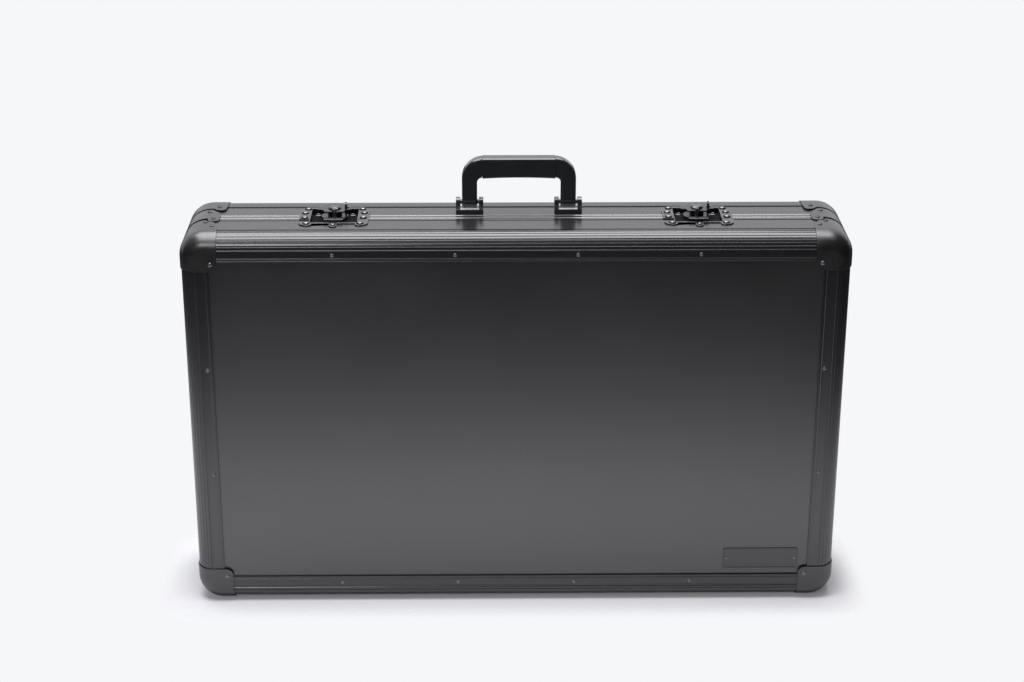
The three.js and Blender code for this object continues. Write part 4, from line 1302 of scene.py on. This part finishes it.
def rubber_foot(node):
    """A turned foot with a ring round its end and a screw sunk in the middle."""
    low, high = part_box(node)
    spot = Vector(((low.x + high.x) / 2, low.y, (low.z + high.z) / 2))
    mesh = bmesh.new()
    lathe(mesh, FOOT_PROFILE, MM, 36, facing(spot, (0, 1, 0)))
    finish_piece(mesh, node + "_turned", "base", "foot_rubber", (node,))
    screw = bmesh.new()
    rivet(screw, spot + Vector((0, 5.2 * MM, 0)), (0, 1, 0), 3.3 * MM)
    finish_piece(screw, node + "_screw", "base", "bright_steel")


class CASE_OT_feet_and_hinges(bpy.types.Operator):
    """Make the rubber feet and the two hinges"""

    bl_idname = "case.feet_and_hinges"
    bl_label = "Feet and hinges"

    def execute(self, context):
        for name in CORNERS:
            rubber_foot("rubber_foot_" + name)
        for name in SIDES:
            for node in ("lid_hinge_leaf_" + name, "base_hinge_leaf_" + name):
                dressed_copy(node, node + "_rolled", "hinge_steel", 0.2)
            node = "hinge_pin_" + name
            dressed_copy(node, node + "_turned", "bright_steel", 0.2)
        return {"FINISHED"}


# Foam.


# The lid's pad: its gap to the walls, its solid back, the grid of its face and its flat border.
FOAM_GAP = 0.4
FOAM_BACK = 10
FOAM_GRID = 4.2
FOAM_BORDER = 14


def wave_foam(sizes):
    """The lid's pad: a sheet of peaked foam on a solid back."""
    low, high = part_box("lid_foam")
    inset = FOAM_GAP * MM
    base = low.y + FOAM_BACK * MM
    mesh = bmesh.new()
    across = int((high.x - low.x) / (FOAM_GRID * MM))
    up = int((high.z - low.z) / (FOAM_GRID * MM))
    made = bmesh.ops.create_grid(mesh, x_segments=across, y_segments=up, size=0.5)["verts"]
    width, height = high.x - low.x - 2 * inset, high.z - low.z - 2 * inset
    middle = Vector(((low.x + high.x) / 2, base, (low.z + high.z) / 2))
    turn = Matrix.Rotation(QUARTER, 4, "X") @ Matrix.Diagonal((width, height, 1, 1))
    place(mesh, made, Matrix.Translation(middle) @ turn)
    pitch = 2 * math.pi / (2 * sizes.foam_pitch)
    edge = FOAM_BORDER * MM
    for vert in mesh.verts:
        wave = math.sin(pitch * (vert.co.x + vert.co.z)) * math.sin(pitch * (vert.co.x - vert.co.z))
        border = min(vert.co.x - low.x, high.x - vert.co.x, vert.co.z - low.z, high.z - vert.co.z)
        share = min(1.0, max(0.0, border / edge))
        vert.co.y += sizes.foam_peak * (0.5 + 0.5 * wave) * share
    rim = [edge for edge in mesh.edges if edge.is_boundary]
    made = bmesh.ops.extrude_edge_only(mesh, edges=rim)
    for vert in verts_of(made):
        vert.co.y = low.y
    bmesh.ops.holes_fill(mesh, edges=[edge for edge in mesh.edges if edge.is_boundary])
    piece = finish_piece(
        mesh, "lid_foam_pad", "lid", "open_cell_foam", ("lid_foam",), 60
    )


def foam_strip(node):
    """A cut strip or sheet of foam with soft edges and a slightly uneven face."""
    mesh = copy_of(node)
    soften(mesh, 1.6, 30, 4)
    bmesh.ops.triangulate(mesh, faces=[face for face in mesh.faces if len(face.verts) > 4])
    piece = finish_piece(mesh, node + "_pad", "base", "open_cell_foam", (node,), 60)


class CASE_OT_foam(bpy.types.Operator):
    """Make the foam lining of the lid and the base"""

    bl_idname = "case.foam"
    bl_label = "Foam lining"

    def execute(self, context):
        wave_foam(context.scene.case_sizes)
        foam_strip("base_floor_foam")
        for side in ("top", "bottom", "left", "right"):
            foam_strip("base_side_foam_" + side)
        return {"FINISHED"}


# Stage.


def distance_fade(tree, shift, near, far, least=0.0):
    """How far a place on the floor is clear of the case, from least at one distance to 1 at
    another."""
    axes = place_along(tree, (shift, 0, 0))
    squares = []
    for axis, half in (("X", HALF), ("Y", (BACK - FRONT) / 2)):
        beyond = add_math(tree, "SUBTRACT", add_math(tree, "ABSOLUTE", axes[axis]), half)
        squares.append(add_math(tree, "POWER", add_math(tree, "MAXIMUM", beyond, 0), 2))
    distance = add_math(tree, "SQRT", add_math(tree, "ADD", *squares))
    return spread(tree, distance, near, far, least, way="SMOOTHSTEP")


def mix_shaders(tree, factor, first, second, output_type):
    """Mixes two shaders into the output."""
    mix = tree.nodes.new("ShaderNodeMixShader")
    put(tree, mix, {"Fac": factor, 1: first.outputs[0], 2: second.outputs[0]})
    add_node(tree, output_type, Surface=mix.outputs["Shader"])


def floor_finish(name, colour):
    """A pale matt floor that thins out away from the case. The camera sees it only close to the
    case, where the shadow is, and the plain background beyond."""
    material = new_material(name)
    tree = material.node_tree
    tree.nodes.clear()
    lit = distance_fade(tree, -0.10, 0.20, 0.95)
    seen = distance_fade(tree, -0.004, 0.008, 0.055, 0.12)
    camera_ray = tree.nodes.new("ShaderNodeLightPath").outputs["Is Camera Ray"]
    choice = add_node(tree, "ShaderNodeMix", Factor=camera_ray, A=lit, B=seen)
    matt = add_node(tree, "ShaderNodeBsdfDiffuse", Color=(*colour, 1))
    clear_through = tree.nodes.new("ShaderNodeBsdfTransparent")
    mix_shaders(tree, choice.outputs["Result"], matt, clear_through, "ShaderNodeOutputMaterial")
    return material


def stage_sheet(name, size, matrix, material):
    mesh = bmesh.new()
    bmesh.ops.create_grid(mesh, x_segments=1, y_segments=1, size=0.5)
    place(mesh, mesh.verts, matrix @ Matrix.Diagonal((*size, 1, 1)))
    data = bpy.data.meshes.new(name)
    mesh.to_mesh(data)
    mesh.free()
    data.materials.append(material)
    sheet = bpy.data.objects.new(name, data)
    bpy.context.scene.collection.objects.link(sheet)
    return sheet


def dark_card(name, size, matrix, colour):
    """A dark card that the case mirrors in place of the pale room. The camera doesn't see it, and
    it takes no lamp's light off the case."""
    material = new_material(name)
    matt = {"Base Color": (*colour, 1), "Roughness": 1}
    put(material.node_tree, shader_of(material), matt)
    card = stage_sheet(name, size, matrix, material)
    card.visible_camera = False
    card.visible_shadow = False


def soft_lamp(name, spot, aim, size, watts):
    data = bpy.data.lights.new(name, "AREA")
    data.shape = "RECTANGLE"
    data.size, data.size_y = size
    data.energy = watts
    lamp = bpy.data.objects.new(name, data)
    bpy.context.scene.collection.objects.link(lamp)
    lamp.location = spot
    lamp.rotation_euler = (Vector(aim) - Vector(spot)).to_track_quat("-Z", "Y").to_euler()
    return lamp


def make_world(stage):
    """Dim even light on the case, and the pale background for the camera and in reflections."""
    world = bpy.data.worlds.new("pale_room")
    bpy.context.scene.world = world
    world.use_nodes = True
    tree = world.node_tree
    tree.nodes.clear()
    kind, white, pale = "ShaderNodeBackground", (1, 1, 1, 1), (*stage.backdrop_colour, 1)
    fill = add_node(tree, kind, Color=white, Strength=stage.fill_strength)
    shown = add_node(tree, kind, Color=pale)
    path = tree.nodes.new("ShaderNodeLightPath").outputs
    seen = add_math(tree, "MAXIMUM", path["Is Camera Ray"], path["Is Glossy Ray"])
    seen = add_math(tree, "MAXIMUM", seen, path["Is Transmission Ray"])
    mix_shaders(tree, seen, fill, shown, "ShaderNodeOutputWorld")


def make_camera(stage):
    yaw, pitch, roll = stage.camera_yaw, stage.camera_pitch, stage.camera_roll
    forward = Vector(
        (math.sin(yaw) * math.cos(pitch), math.cos(yaw) * math.cos(pitch), -math.sin(pitch))
    )
    right = Vector((math.cos(yaw), -math.sin(yaw), 0))
    up = Vector((math.sin(yaw) * math.sin(pitch), math.cos(yaw) * math.sin(pitch), math.cos(pitch)))
    turned_right = math.cos(roll) * right + math.sin(roll) * up
    turned_up = math.cos(roll) * up - math.sin(roll) * right
    matrix = Matrix((turned_right, turned_up, -forward)).transposed().to_4x4()
    matrix.translation = Vector(stage.camera_place)
    data = bpy.data.cameras.new("camera")
    data.lens = stage.camera_lens
    data.sensor_width = 36
    data.sensor_fit = "HORIZONTAL"
    camera = bpy.data.objects.new("camera", data)
    bpy.context.scene.collection.objects.link(camera)
    camera.matrix_world = matrix
    bpy.context.scene.camera = camera


class CASE_OT_stage(bpy.types.Operator):
    """Make the camera, the floor, the lamps and the background"""

    bl_idname = "case.stage"
    bl_label = "Stage"

    def execute(self, context):
        stage = context.scene.case_stage
        make_camera(stage)
        make_world(stage)
        pale = floor_finish("pale_floor", stage.floor_colour)
        floor = stage_sheet("floor", (6, 6), Matrix.Identity(4), pale)
        # The lid stays lit where it swings lower than the floor.
        floor.visible_shadow = False
        under = Matrix.Translation((0, 0, -0.01))
        dark_card("dark_ground", (9, 9), under, (0.03, 0.03, 0.032))
        for name, spot, axis, size in (
            ("dark_front", (0, -3.4, 2.6), "X", (7, 5.6)),
            ("dark_right", (2.4, -1.2, 2.0), "Y", (4.4, 4.4)),
            ("dark_left", (-2.7, -1.4, 1.9), "Y", (4.2, 4.0)),
        ):
            upright = Matrix.Translation(spot) @ Matrix.Rotation(QUARTER, 4, axis)
            dark_card(name, size, upright, (0.02, 0.02, 0.02))
        above, over_floor, left = stage.overhead_power, stage.floor_power, stage.front_power
        soft_lamp("overhead", (-0.15, 0.14, 1.8), (-0.12, 0.05, 0.3), (1.7, 1.5), above)
        low = soft_lamp(
            "floor_light", (-0.1, -0.11, 1.9), (-0.05, -0.13, 0), (1.4, 0.3), over_floor
        )
        low.visible_glossy = False
        soft_lamp("front_left", (-0.78, -2.2, 1.85), (-0.3, 0, 0.42), (0.8, 0.4), left)
        context.scene.view_settings.view_transform = "Standard"
        return {"FINISHED"}


OPERATORS = (
    CASE_OT_stage,
    CASE_OT_edge_bars,
    CASE_OT_panels,
    CASE_OT_corners,
    CASE_OT_face_rivets,
    CASE_OT_latches,
    CASE_OT_handle,
    CASE_OT_feet_and_hinges,
    CASE_OT_foam,
)


class CASE_PT_pieces(bpy.types.Panel):
    """Lists the pieces of the case"""

    bl_idname = "CASE_PT_pieces"
    bl_label = "Controller case"
    bl_space_type = "VIEW_3D"
    bl_region_type = "UI"
    bl_category = "Case"

    def draw(self, context):
        for operator in OPERATORS:
            self.layout.operator(operator.bl_idname)
        for group, kind in GROUPS.items():
            for name in kind.__annotations__:
                self.layout.prop(getattr(context.scene, group), name)


GROUPS = {
    "case_sizes": CaseSizes,
    "case_colours": CaseColours,
    "case_stage": CaseStage,
}


def register():
    for group in GROUPS.values():
        bpy.utils.register_class(group)
    for name, group in GROUPS.items():
        setattr(bpy.types.Scene, name, bpy.props.PointerProperty(type=group))
    for operator in OPERATORS:
        bpy.utils.register_class(operator)
    bpy.utils.register_class(CASE_PT_pieces)


def unregister():
    bpy.utils.unregister_class(CASE_PT_pieces)
    for operator in reversed(OPERATORS):
        bpy.utils.unregister_class(operator)
    for name in GROUPS:
        delattr(bpy.types.Scene, name)
    for group in GROUPS.values():
        bpy.utils.unregister_class(group)


def main():
    """Dresses the frame."""
    register()
    bpy.ops.case.stage()
    bpy.ops.case.edge_bars()
    bpy.ops.case.panels()
    bpy.ops.case.corners()
    bpy.ops.case.face_rivets()
    bpy.ops.case.latches()
    bpy.ops.case.handle()
    bpy.ops.case.feet_and_hinges()
    bpy.ops.case.foam()


if __name__ == "__main__":
    main()
